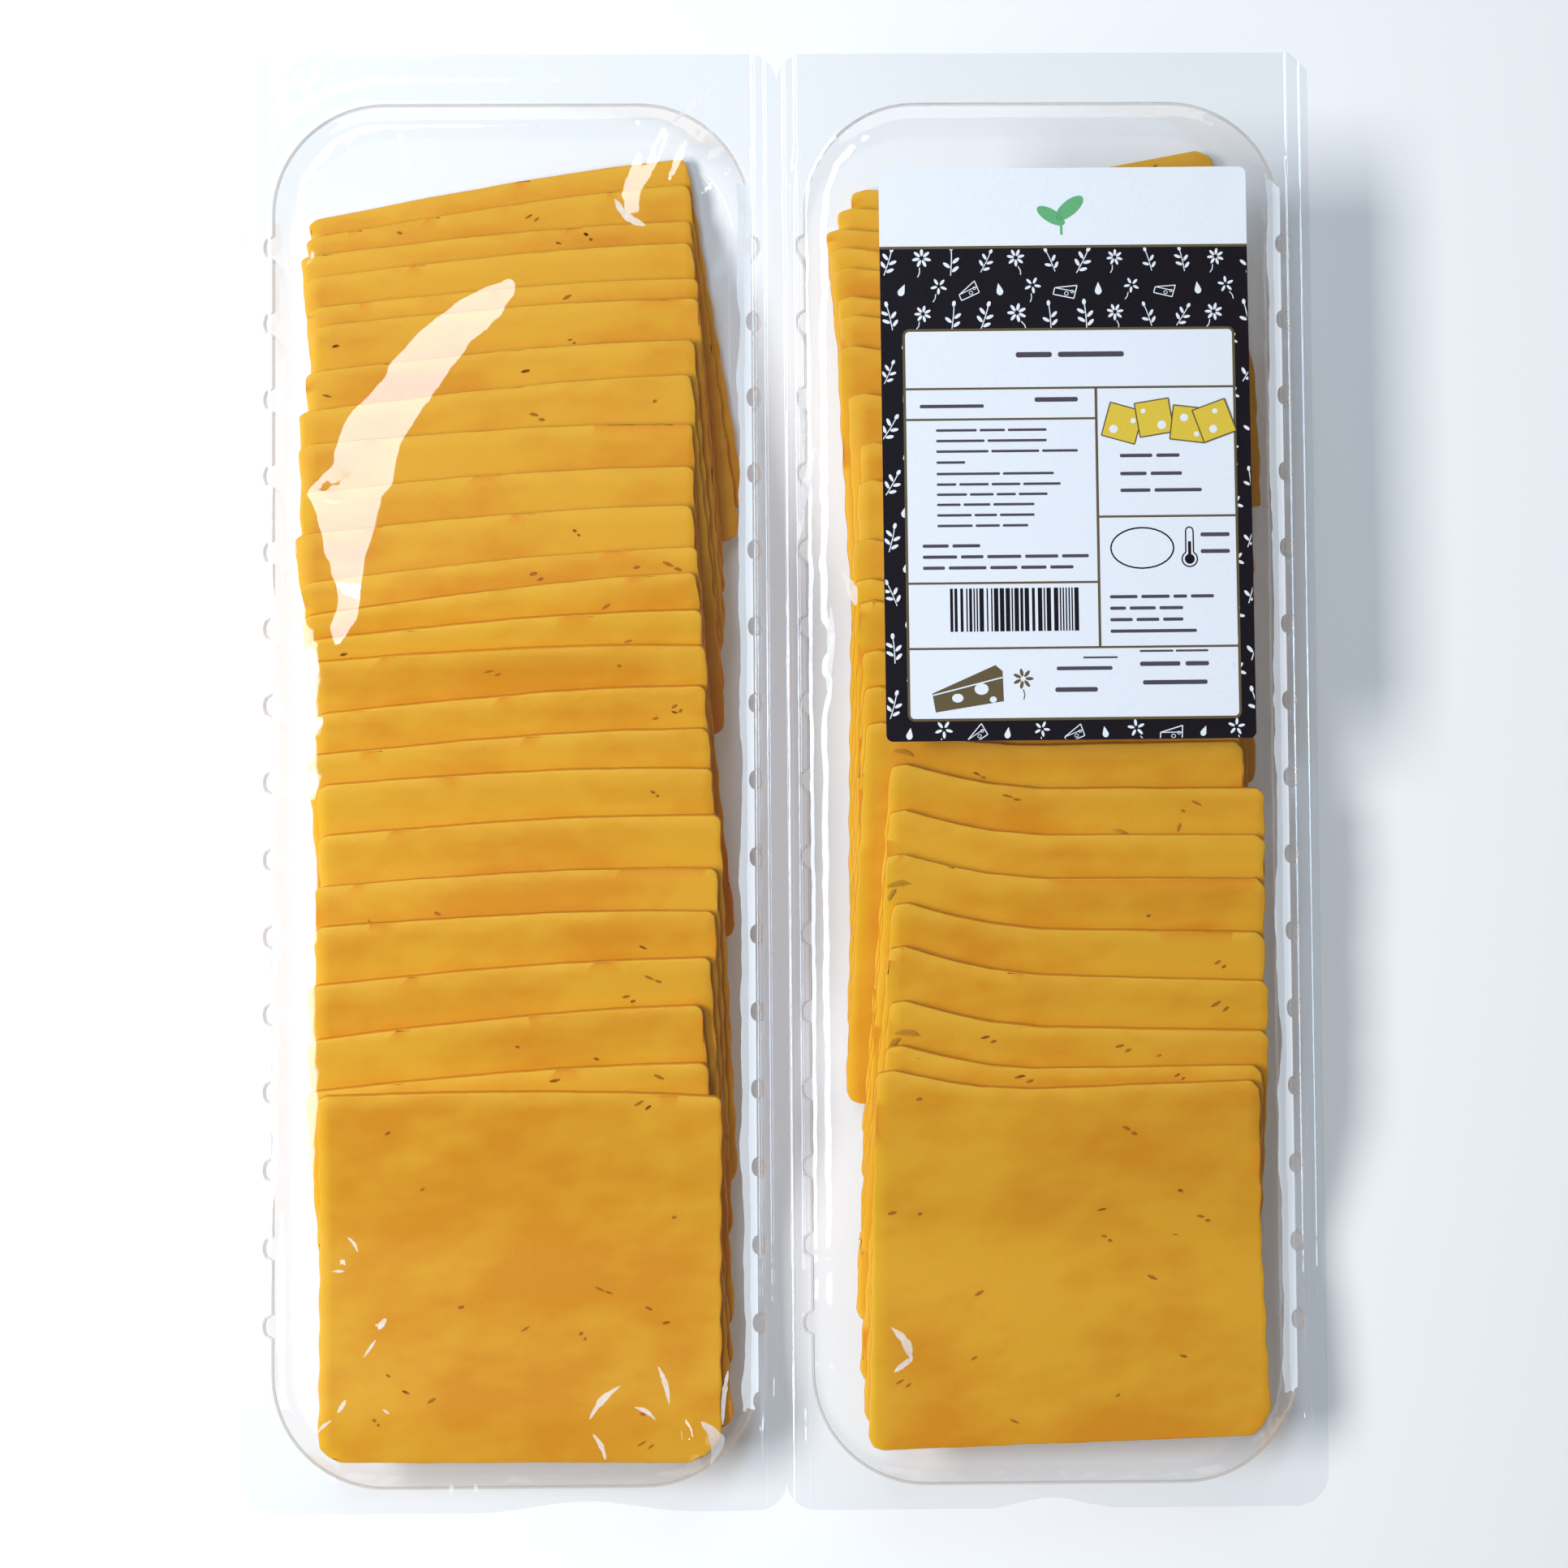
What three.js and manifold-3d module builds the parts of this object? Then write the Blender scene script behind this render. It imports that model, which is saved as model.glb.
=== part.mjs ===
// Twin pack of sliced cheese: two clear trays formed side by side in one web, each with a
// shingled row of square slices, under one sealed top film with a paper label on the right.
// Millimetres, +Z up, +X across both trays, +Y towards the far end where the first slice lies.
// The origin is on the ground under the middle of the pack.
import * as THREE from "three";
import { mergeVertices } from "three/addons/utils/BufferGeometryUtils.js";
import Module from "manifold-3d";

// Whole pack
const packWidth = 242;
const packLength = 328.5;
const flangeTop = 32;
const flangeThickness = 0.5;
const flangeCorner = 7.5; // outer corner radius
const notchRadius = 6.5; // the rounded inner corners that meet in a V on the centre line
const peelChamfer = 4; // cut corner at the far right, where the film is gripped

// Tray cavities
const wall = 0.5;
const outerRim = 7.1; // flange width beside a cavity, on the pack's long sides
const innerRim = 6.5; // from the centre line to a cavity
const farRim = 11.7;
const nearRim = 5.8;
const cavityCorner = 25;
const wallDraft = 1.5; // how far a wall leans in from rim to floor
const floorFillet = 3;
const fluteCount = 15;
const fluteSpacing = 17.35;
const fluteMiddle = -1.3; // y of the middle flute
const fluteWidth = 5.4;
const fluteDepth = 2; // at the rim; a flute fades out above the floor fillet
const fluteProfile = [[-0.5, 0], [-0.24, 1], [0.24, 1], [0.5, 0]]; // [share of width, share of depth]
const filletAngles = [0, 45, 90]; // from straight down to the wall

// Near edge of the flange: a shallow dip in front of each tray, [x, half width, depth]
const nearDips = [[-44.5, 24, 2.4], [59, 15, 2.3]];

// Number of straight steps in a round corner
const cavityCornerSteps = 5;
const flangeCornerSteps = 4;
const notchSteps = 3;
const labelCornerSteps = 3;
const sliceCornerSteps = 2;
const dipSteps = 8; // across one dip
const overcut = 1; // how far a cutting solid runs on past what it cuts

// Film and label
const filmGap = 0.1;
const filmThickness = 0.2;
const filmBulge = 1.6;
const filmShoulder = [[0, 0], [4, 0.35], [9, 0.7], [15, 0.93], [22, 1]]; // [inset mm, share of bulge]
const labelGap = 0.25;
const labelThickness = 0.15;
const label = { width: 83.4, length: 130.3, x: 65, y: 72.3, turn: 0.3, corner: 1.5 };

// Slices
const sliceThickness = 2.2;
const slicePitch = 2.3; // rise from a slice to the one on it
const floorGap = 0.35; // under the first slice
const wallGap = 0.3; // between cheese and tray
const bandLength = 8; // every slice bends along the same lines across the tray
const dropLength = 20; // how gently a slice comes down past the edge of one below it
const nearRise = 11; // how far the near wall props up the slices that reach it
const nearRiseStart = -100; // y where that begins
const nearRiseLength = 52;
const widthSpread = 0.5; // chance differences between slices, either way
const lengthSpread = 1;

// Each row of slices, first slice first: the far edge of slice 1, then the strip of each slice
// that shows beyond the next one, its turn seen from above in degrees, and its shift sideways
// from the middle of the tray. Lengths are as seen from above, with the slices lying aslant.
const leftRow = {
  side: -1,
  seed: 11,
  farEdge: 139.2,
  length: 83,
  farWidth: 90,
  nearWidth: 90.5,
  farBow: 1.2,
  farFlare: 0,
  farCorner: 1,
  strips: [5.6, 6.9, 5.5, 8, 4.9, 10.5, 9, 9.8, 10.7, 9.6, 10.6, 6.9, 7.1, 6.6, 10.2, 9.5, 7.9, 11,
    11.6, 9.5, 11.9, 11.4, 12.3, 4.3],
  turns: [9.4, 8, 5.2, 5.2, 4.3, 4, 4.7, 5.4, 2.9, 3.6, 4.1, 5.1, 6.2, 4.1, 2, 3.9, 3.6, 2.1, 2.6,
    2.3, 2, 3.7, 4.8, 3.8, -0.5],
  shifts: [-4.4, -4.4, -4.6, -4.2, -2.9, -2.5, -3.5, -4.5, -4.2, -4.1, -4.5, -3.5, -3.4, -2.2, -1.8,
    -1.4, -1.5, 0, 0.9, 0.2, -0.1, -1.5, -2.6, -2.2, 0.9],
};
const rightRow = {
  side: 1,
  seed: 29,
  farEdge: 140.8,
  length: 80.5,
  farWidth: 85.5,
  nearWidth: 91,
  farBow: 0,
  farFlare: 6.5, // the far left corner runs out past the straight part of the edge
  farCorner: 1.8,
  strips: [4.7, 6, 5.2, 5.5, 7.5, 5.4, 7.9, 11.7, 12.4, 9.3, 14.1, 10, 5.6, 11.4, 8.5, 8.7, 10, 10.5,
    9.9, 11.7, 10.4, 11.8, 8.9, 4.5],
  turns: [10.5, 10.5, 9.5, 9, 8.5, 8, 7, 6.5, 6, 5, 4.5, 4, 3, 2.5, 2, 1.5, 0.5, -0.3, -0.4, -0.5,
    -1.2, -2, -1.4, 0.4, 1.8],
  shifts: [0, -2.3, -5.6, -5.2, -4.2, -3.6, -3.3, -3.4, -1.3, 1, 0.2, -1.1, -0.1, 0.7, 1, 1.4, 2.1,
    7.2, 6.9, 6.5, 7.1, 6.9, 6.9, 5.7, 4.2],
};
const flareShare = 0.38; // share of the width that the flare takes
const flarePower = 1.55;
const bowPeak = 0.6; // where along the far edge the bow is highest
const farShares = [0.1, 0.18, 0.27, 0.4, 0.6, 0.8]; // where the far edge has a point, from the left
const farLeftCorner = [[0.25, -0.9], [0, -1.6]]; // its points, in from the sides, in corner radii
const nearCorner = 3;

const wasm = await Module();
wasm.setup();

// Solids

function solid(geometry) {
  const bare = geometry.clone();
  bare.deleteAttribute("normal");
  bare.deleteAttribute("uv");
  const merged = mergeVertices(bare, 1e-4);
  return new wasm.Manifold(
    new wasm.Mesh({
      numProp: 3,
      vertProperties: merged.attributes.position.array,
      triVerts: new Uint32Array(merged.index.array),
    }),
  );
}

function geometryOf(manifold) {
  const mesh = manifold.getMesh();
  const geometry = new THREE.BufferGeometry();
  geometry.setAttribute("position", new THREE.BufferAttribute(mesh.vertProperties, 3));
  geometry.setIndex(new THREE.BufferAttribute(mesh.triVerts, 1));
  return geometry;
}

// A flat plate of an outline of Vector2 points, from one height to another.
function plate(outline, bottom, top) {
  const geometry = new THREE.ExtrudeGeometry(new THREE.Shape(outline), {
    depth: top - bottom,
    bevelEnabled: false,
  });
  return solid(geometry.translate(0, 0, bottom));
}

// A closed solid through rings of points, lowest first, each { z, points } with as many points.
function loft(rings) {
  const count = rings[0].points.length;
  const positions = rings.flatMap(({ z, points }) => points.flatMap((p) => [p.x, p.y, z]));
  const faces = [];
  for (let r = 0; r + 1 < rings.length; r++) {
    for (let i = 0; i < count; i++) {
      const a = r * count + i;
      const b = r * count + ((i + 1) % count);
      faces.push(a, b, b + count, a, b + count, a + count);
    }
  }
  const lastRing = (rings.length - 1) * count;
  for (const [a, b, c] of THREE.ShapeUtils.triangulateShape(rings[0].points, [])) {
    faces.push(c, b, a);
  }
  for (const [a, b, c] of THREE.ShapeUtils.triangulateShape(rings.at(-1).points, [])) {
    faces.push(a + lastRing, b + lastRing, c + lastRing);
  }
  const geometry = new THREE.BufferGeometry();
  geometry.setAttribute("position", new THREE.Float32BufferAttribute(positions, 3));
  geometry.setIndex(faces);
  return solid(geometry);
}

function arc(cx, cy, radius, fromDegrees, toDegrees, steps) {
  return Array.from({ length: steps + 1 }, (_, i) => {
    const angle = THREE.MathUtils.degToRad(fromDegrees + ((toDegrees - fromDegrees) * i) / steps);
    return new THREE.Vector2(cx + radius * Math.cos(angle), cy + radius * Math.sin(angle));
  });
}

// Cavities

const cavityHalfWidth = (packWidth / 2 - outerRim - innerRim) / 2;
const cavityX = innerRim + cavityHalfWidth;
const cavityHalfLength = (packLength - farRim - nearRim) / 2;
const cavityY = (nearRim - farRim) / 2;
const fluteOffsets = Array.from(
  { length: fluteCount },
  (_, i) => (i - (fluteCount - 1) / 2) * fluteSpacing,
);

// The outline of a cavity, counterclockwise from its near right corner. side is -1 or 1. Its long
// sides are plain, or have flutes where a depth is given for them.
function cavityOutline(side, inset, depth) {
  const radius = cavityCorner - inset;
  const halfWidth = cavityHalfWidth - inset;
  const halfLength = cavityHalfLength - inset;
  const centreX = side * cavityX;
  const [left, right] = [centreX - halfWidth + radius, centreX + halfWidth - radius];
  const [near, far] = [cavityY - halfLength + radius, cavityY + halfLength - radius];
  const flute = (x, y, outward) =>
    fluteProfile.map(
      ([along, out]) =>
        new THREE.Vector2(x + outward * out * depth, y + outward * along * fluteWidth),
    );
  const longSide = (x, outward) =>
    depth === undefined
      ? []
      : fluteOffsets.flatMap((offset) => flute(x, fluteMiddle + outward * offset, outward));
  return [
    ...arc(right, near, radius, -90, 0, cavityCornerSteps),
    ...longSide(right + radius, 1),
    ...arc(right, far, radius, 0, 90, cavityCornerSteps),
    ...arc(left, far, radius, 90, 180, cavityCornerSteps),
    ...longSide(left - radius, -1),
    ...arc(left, near, radius, 180, 270, cavityCornerSteps),
  ];
}

// The solid that a cavity's surface bounds, moved outwards by grow, up to a given height.
function tub(side, grow, top, fluted = true) {
  const radius = floorFillet + grow;
  const centreZ = wall + floorFillet;
  const ring = (z, inset, fluteShare) => ({
    z,
    points: cavityOutline(side, inset, fluted ? fluteDepth * fluteShare : undefined),
  });
  const fillet = filletAngles.map((degrees) => {
    const angle = THREE.MathUtils.degToRad(degrees);
    const inset = wallDraft + floorFillet - radius * Math.sin(angle);
    return ring(centreZ - radius * Math.cos(angle), inset, 0);
  });
  const rise = (top - centreZ) / (flangeTop - centreZ);
  return loft([...fillet, ring(top, wallDraft * (1 - rise) - grow, rise)]);
}

// Flange

function packOutline() {
  const [halfWidth, halfLength] = [packWidth / 2, packLength / 2];
  const cornerX = halfWidth - flangeCorner;
  const nearEdge = (x) =>
    nearDips.reduce((y, [middle, halfDip, depth]) => {
      const along = Math.min(Math.abs(x - middle) / halfDip, 1);
      return y + (depth * (1 + Math.cos(Math.PI * along))) / 2;
    }, -halfLength);
  const dipPoints = ([middle, halfDip]) =>
    Array.from({ length: dipSteps + 1 }, (_, i) => {
      const x = middle + ((i * 2) / dipSteps - 1) * halfDip;
      return new THREE.Vector2(x, nearEdge(x));
    });
  const notchY = halfLength - notchRadius;
  return [
    ...arc(-cornerX, -halfLength + flangeCorner, flangeCorner, 180, 270, flangeCornerSteps),
    ...dipPoints(nearDips[0]),
    ...arc(-notchRadius, -notchY, notchRadius, 270, 360, notchSteps),
    ...arc(notchRadius, -notchY, notchRadius, 180, 270, notchSteps).slice(1),
    ...dipPoints(nearDips[1]),
    ...arc(cornerX, -halfLength + flangeCorner, flangeCorner, 270, 360, flangeCornerSteps),
    new THREE.Vector2(halfWidth, halfLength - peelChamfer),
    new THREE.Vector2(halfWidth - peelChamfer, halfLength),
    ...arc(notchRadius, notchY, notchRadius, 90, 180, notchSteps),
    ...arc(-notchRadius, notchY, notchRadius, 0, 90, notchSteps).slice(1),
    ...arc(-cornerX, halfLength - flangeCorner, flangeCorner, 90, 180, flangeCornerSteps),
  ];
}

function makeTray() {
  const flange = plate(packOutline(), flangeTop - flangeThickness, flangeTop);
  const plateMiddle = flangeTop - flangeThickness / 2;
  const outside = flange.add(tub(-1, wall, plateMiddle)).add(tub(1, wall, plateMiddle));
  const above = flangeTop + overcut;
  return outside.subtract(tub(-1, 0, above)).subtract(tub(1, 0, above));
}

// Film

// A low cushion over one cavity: its foot at one height, its top following the film's bulge.
function cushion(side, foot, base) {
  const rings = filmShoulder.map(([inset, share]) => ({
    z: base + filmBulge * share,
    points: cavityOutline(side, inset),
  }));
  return loft([{ z: foot, points: cavityOutline(side, 0) }, ...rings]);
}

const filmBottom = flangeTop + filmGap;
const filmTop = filmBottom + filmThickness;

function makeFilm() {
  let film = plate(packOutline(), filmBottom, filmTop);
  for (const side of [-1, 1]) {
    film = film.add(cushion(side, (filmBottom + filmTop) / 2, filmTop));
    film = film.subtract(cushion(side, filmBottom - overcut, filmBottom));
  }
  return film;
}

function makeLabel() {
  const { width, length, corner } = label;
  const [x, y] = [width / 2 - corner, length / 2 - corner];
  const outline = [
    ...arc(x, -y, corner, -90, 0, labelCornerSteps),
    ...arc(x, y, corner, 0, 90, labelCornerSteps),
    ...arc(-x, y, corner, 90, 180, labelCornerSteps),
    ...arc(-x, -y, corner, 180, 270, labelCornerSteps),
  ].map((p) =>
    p
      .rotateAround(new THREE.Vector2(), THREE.MathUtils.degToRad(label.turn))
      .add(new THREE.Vector2(label.x, label.y)),
  );
  const underside = filmTop + labelGap;
  const paper = cushion(1, flangeTop, underside + labelThickness);
  const stamp = plate(outline, flangeTop, underside + filmBulge + overcut);
  return paper.subtract(cushion(1, flangeTop - overcut, underside)).intersect(stamp);
}

// Slices

// A repeatable stream of small random numbers from -1 to 1.
function wobble(seed) {
  const [multiplier, modulus] = [16807, 2147483647];
  let state = seed;
  return () => {
    state = (state * multiplier) % modulus;
    return (state / modulus) * 2 - 1;
  };
}

// Far edge of a slice, as a rise beyond the straight line, at a share of the width from the left.
function farEdgeRise(row, share) {
  const flare = share < flareShare ? row.farFlare * (1 - share / flareShare) ** flarePower : 0;
  const reach = share < bowPeak ? share / bowPeak : (1 - share) / (1 - bowPeak);
  return flare + row.farBow * Math.sin((Math.PI / 2) * reach);
}

// The outline of a slice seen from above, in its own frame: far edge along y = 0. Its left side
// slants, and its right one is straight.
function sliceOutline(row, random) {
  const farHalf = row.farWidth / 2 + random() * widthSpread;
  const near = -row.length + random() * lengthSpread;
  const nearLeft = farHalf - row.nearWidth;
  const corner = row.farCorner;
  const cornerShare = corner / (2 * farHalf);
  const far = [2 * cornerShare, ...farShares, 1 - cornerShare].map(
    (share) => new THREE.Vector2(farHalf * (2 * share - 1), farEdgeRise(row, share)),
  );
  const leftTop = farEdgeRise(row, 0);
  return [
    ...far.reverse(),
    ...farLeftCorner.map(([x, y]) => new THREE.Vector2(x * corner - farHalf, leftTop + y * corner)),
    ...arc(nearLeft + nearCorner, near + nearCorner, nearCorner, 180, 270, sliceCornerSteps),
    ...arc(farHalf - nearCorner, near + nearCorner, nearCorner, 270, 360, sliceCornerSteps),
    new THREE.Vector2(farHalf, -corner),
  ];
}

const smoothStep = (share) => THREE.MathUtils.smoothstep(share, 0, 1);

// Makes one row. A slice lies on all the ones before it: where it comes down past the near edge
// of a lower slice it drops by one pitch, so each slice slants from the pile to the floor. The last
// ones rise again towards the near wall.
function makeRow(row) {
  const random = wobble(row.seed);
  const cavity = tub(row.side, -wallGap, flangeTop, false);
  const below = []; // near edges of the slices already laid, rounded out to a bend line
  let farEdge = row.farEdge;
  return row.turns.map((turn, index) => {
    const angle = THREE.MathUtils.degToRad(turn);
    const place = new THREE.Vector2(row.side * cavityX + row.shifts[index], farEdge);
    const outline = sliceOutline(row, random).map((p) =>
      p.rotateAround(new THREE.Vector2(), angle).add(place),
    );
    const ys = outline.map((p) => p.y);
    const first = Math.floor(Math.min(...ys) / bandLength);
    const last = Math.ceil(Math.max(...ys) / bandLength);
    const underside = [];
    for (let line = first; line <= last; line++) {
      const y = line * bandLength;
      const laps = below.reduce((sum, edge) => sum + smoothStep((y - edge) / dropLength + 1), 0);
      const propped = nearRise * smoothStep((nearRiseStart - y) / nearRiseLength);
      underside.push(new THREE.Vector2(y, wall + floorGap + slicePitch * laps + propped));
    }
    const topside = underside.map((p) => new THREE.Vector2(p.x, p.y + sliceThickness)).reverse();
    const sheetHalf = packWidth / 2;
    const sheet = new THREE.ExtrudeGeometry(new THREE.Shape([...underside, ...topside]), {
      depth: 2 * sheetHalf,
      bevelEnabled: false,
    });
    sheet.translate(0, 0, -sheetHalf);
    sheet.applyMatrix4(
      new THREE.Matrix4().makeBasis(
        new THREE.Vector3(0, 1, 0),
        new THREE.Vector3(0, 0, 1),
        new THREE.Vector3(1, 0, 0),
      ),
    );
    below.push(first * bandLength);
    farEdge -= row.strips[index] ?? 0;
    return solid(sheet).intersect(plate(outline, 0, flangeTop)).intersect(cavity);
  });
}

// Assembly

const clearPlastic = new THREE.MeshStandardMaterial({
  color: 0xe3eaee,
  roughness: 0.15,
  transparent: true,
  opacity: 0.3,
});
const clearFilm = new THREE.MeshStandardMaterial({
  color: 0xf2f6f8,
  roughness: 0.08,
  transparent: true,
  opacity: 0.15,
});
const paper = new THREE.MeshStandardMaterial({ color: 0xf1f5fc, roughness: 0.45 });
const cheese = new THREE.MeshStandardMaterial({ color: 0xe1a733, roughness: 0.5 });

const group = new THREE.Group();

function addMesh(name, manifold, material) {
  const mesh = new THREE.Mesh(geometryOf(manifold), material);
  mesh.name = name;
  group.add(mesh);
}

addMesh("tray", makeTray(), clearPlastic);
addMesh("film", makeFilm(), clearFilm);
addMesh("label", makeLabel(), paper);
for (const [letter, row] of [["l", leftRow], ["r", rightRow]]) {
  makeRow(row).forEach((slice, index) => {
    addMesh(`slice_${letter}_${String(index + 1).padStart(2, "0")}`, slice, cheese);
  });
}

export default group;
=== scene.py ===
import bisect
import math
import random

import bmesh
import bpy
from mathutils import Matrix, Vector, noise


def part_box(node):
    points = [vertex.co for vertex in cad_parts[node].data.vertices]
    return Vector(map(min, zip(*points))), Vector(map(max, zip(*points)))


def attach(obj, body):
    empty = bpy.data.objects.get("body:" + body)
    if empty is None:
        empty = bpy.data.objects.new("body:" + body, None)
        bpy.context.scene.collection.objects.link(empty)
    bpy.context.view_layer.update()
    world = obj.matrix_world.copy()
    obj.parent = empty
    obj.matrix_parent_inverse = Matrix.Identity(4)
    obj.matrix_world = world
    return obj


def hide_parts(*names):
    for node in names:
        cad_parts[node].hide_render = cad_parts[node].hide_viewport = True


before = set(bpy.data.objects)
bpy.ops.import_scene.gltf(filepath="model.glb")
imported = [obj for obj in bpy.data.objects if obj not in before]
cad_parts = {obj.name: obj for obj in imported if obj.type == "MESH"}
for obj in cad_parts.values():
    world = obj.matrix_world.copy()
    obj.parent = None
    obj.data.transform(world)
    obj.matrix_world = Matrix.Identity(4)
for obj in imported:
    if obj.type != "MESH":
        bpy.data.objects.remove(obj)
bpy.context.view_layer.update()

# Twin pack of sliced cheese: clear trays, shingled slices, top film and a printed label. Metres.
root = "root"

packShape = {
    "halfWidth": 0.121,
    "halfLength": 0.16425,
    "corner": 0.0075,
    "notch": 0.0065,  # rounded inner corners that meet in a V on the centre line
    "peelChamfer": 0.004,
    "nearDips": [(-0.0445, 0.024, 0.0024), (0.059, 0.015, 0.0023)],  # middle, half width, depth
    "outerRim": 0.0071,
    "innerRim": 0.0065,
    "farRim": 0.0117,
    "nearRim": 0.0058,
    "cavityCorner": 0.025,
    "beads": [-0.1171, -0.0048, -0.0022, 0.0022, 0.0048, 0.1164, 0.1195],  # ribs along the flange
    "beadWidth": 0.0009,
    "beadRise": 0.0003,
}
beadLines = sorted(
    x + share * packShape["beadWidth"] for x in packShape["beads"] for share in (-1, -0.5, 0, 0.5, 1))
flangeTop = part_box("tray")[1].z
cavityHalfWidth = (packShape["halfWidth"] - packShape["outerRim"] - packShape["innerRim"]) / 2
cavityX = packShape["innerRim"] + cavityHalfWidth
cavityHalfLength = packShape["halfLength"] - (packShape["farRim"] + packShape["nearRim"]) / 2
cavityY = (packShape["nearRim"] - packShape["farRim"]) / 2


# Outlines

def arc(x, y, radius, start, end, steps):
    angles = [math.radians(start + (end - start) * i / steps) for i in range(steps + 1)]
    return [(x + radius * math.cos(a), y + radius * math.sin(a)) for a in angles]


def smooth(share):
    share = min(max(share, 0.0), 1.0)
    return share * share * (3 - 2 * share)


def nearEdge(x):
    y = -packShape["halfLength"]
    for middle, half, depth in packShape["nearDips"]:
        y += depth * (1 + math.cos(math.pi * min(abs(x - middle) / half, 1))) / 2
    return y


def packOutline():
    halfWidth, halfLength = packShape["halfWidth"], packShape["halfLength"]
    corner, notch, chamfer = packShape["corner"], packShape["notch"], packShape["peelChamfer"]
    x, y = halfWidth - corner, halfLength - corner
    tip = halfLength - notch
    dips = []
    for middle, half, depth in packShape["nearDips"]:
        xs = [middle + half * i / 12 for i in range(-12, 13)]
        dips.append([(px, nearEdge(px)) for px in xs])
    return (
        arc(-x, -y, corner, 180, 270, 10) + dips[0]
        + arc(-notch, -tip, notch, 270, 360, 8) + arc(notch, -tip, notch, 180, 270, 8)[1:] + dips[1]
        + arc(x, -y, corner, 270, 360, 10)
        + [(halfWidth, halfLength - chamfer), (halfWidth - chamfer, halfLength)]
        + arc(notch, tip, notch, 90, 180, 8) + arc(-notch, tip, notch, 0, 90, 8)[1:]
        + arc(-x, y, corner, 90, 180, 10)
    )


def rimDistance(x, y):  # how far inside its cavity's rim a place is; negative on the flange
    side = 1 if x > 0 else -1
    corner = packShape["cavityCorner"]
    dx = abs(x - side * cavityX) - (cavityHalfWidth - corner)
    dy = abs(y - cavityY) - (cavityHalfLength - corner)
    outside = math.hypot(max(dx, 0), max(dy, 0))
    return corner - outside - min(max(dx, dy), 0)


def beadRise(x):
    rise = 0
    for middle in packShape["beads"]:
        rise += smooth(1 - abs(x - middle) / packShape["beadWidth"]) * packShape["beadRise"]
    return rise


# Meshes

def cutLines(bm, axis, places):
    normal = Vector((axis == "x", axis == "y", 0))
    for place in places:
        everything = bm.verts[:] + bm.edges[:] + bm.faces[:]
        bmesh.ops.bisect_plane(bm, geom=everything, plane_co=normal * place, plane_no=normal, dist=1e-6)


def steps(low, high, step):
    return [step * i for i in range(math.ceil(low / step), math.floor(high / step) + 1)]


def flatSheet(outline):
    bm = bmesh.new()
    bm.faces.new([bm.verts.new((x, y, 0)) for x, y in outline])
    return bm


def cutNet(bm, step):  # cuts flat shapes into a net of squares
    for axis in "xy":
        places = [getattr(v.co, axis) for v in bm.verts]
        cutLines(bm, axis, steps(min(places), max(places), step))


def thicken(bm, thickness):
    bmesh.ops.solidify(bm, geom=bm.faces[:], thickness=thickness)


def ribbon(bm, upper, lower):  # faces between two rows of vertices
    for i in range(len(upper) - 1):
        bm.faces.new((lower[i], lower[i + 1], upper[i + 1], upper[i]))


def turnedPoint(x, y, along, across, degrees):  # a step along and across, turned about a place
    c, s = math.cos(math.radians(degrees)), math.sin(math.radians(degrees))
    return x + along * c - across * s, y + along * s + across * c


def smoothByAngle(obj, degrees):
    for face in obj.data.polygons:
        face.use_smooth = True
    obj.data.set_sharp_from_angle(angle=math.radians(degrees))


def makePiece(name, bm, material, node=None, sharp=40):
    mesh = bpy.data.meshes.new(name)
    bm.to_mesh(mesh)
    bm.free()
    obj = bpy.data.objects.new(name, mesh)
    bpy.context.scene.collection.objects.link(obj)
    mesh.materials.append(material)
    smoothByAngle(obj, sharp)
    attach(obj, root)
    if node:
        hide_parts(node)
    return obj


# Shader nodes

class Wire:  # one output of a node, with the sums that the materials use
    def __init__(self, recipe, socket):
        self.recipe, self.socket = recipe, socket

    def maths(self, operation, *others):
        made = self.recipe.node("ShaderNodeMath", {"operation": operation}, [self, *others])
        return made["Value"]

    def __add__(self, other):
        return self.maths("ADD", other)

    def __mul__(self, other):
        return self.maths("MULTIPLY", other)

    def __sub__(self, other):
        return self.maths("SUBTRACT", other)

    def __rsub__(self, other):
        return (self * -1) + other

    def __gt__(self, other):
        return self.maths("GREATER_THAN", other)

    def __lt__(self, other):
        return self.maths("LESS_THAN", other)

    __radd__ = __add__
    __rmul__ = __mul__


class Made:  # a node, whose outputs are taken by name
    def __init__(self, recipe, shaderNode):
        self.recipe, self.shaderNode = recipe, shaderNode

    def __getitem__(self, name):
        return Wire(self.recipe, self.shaderNode.outputs[name])


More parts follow.
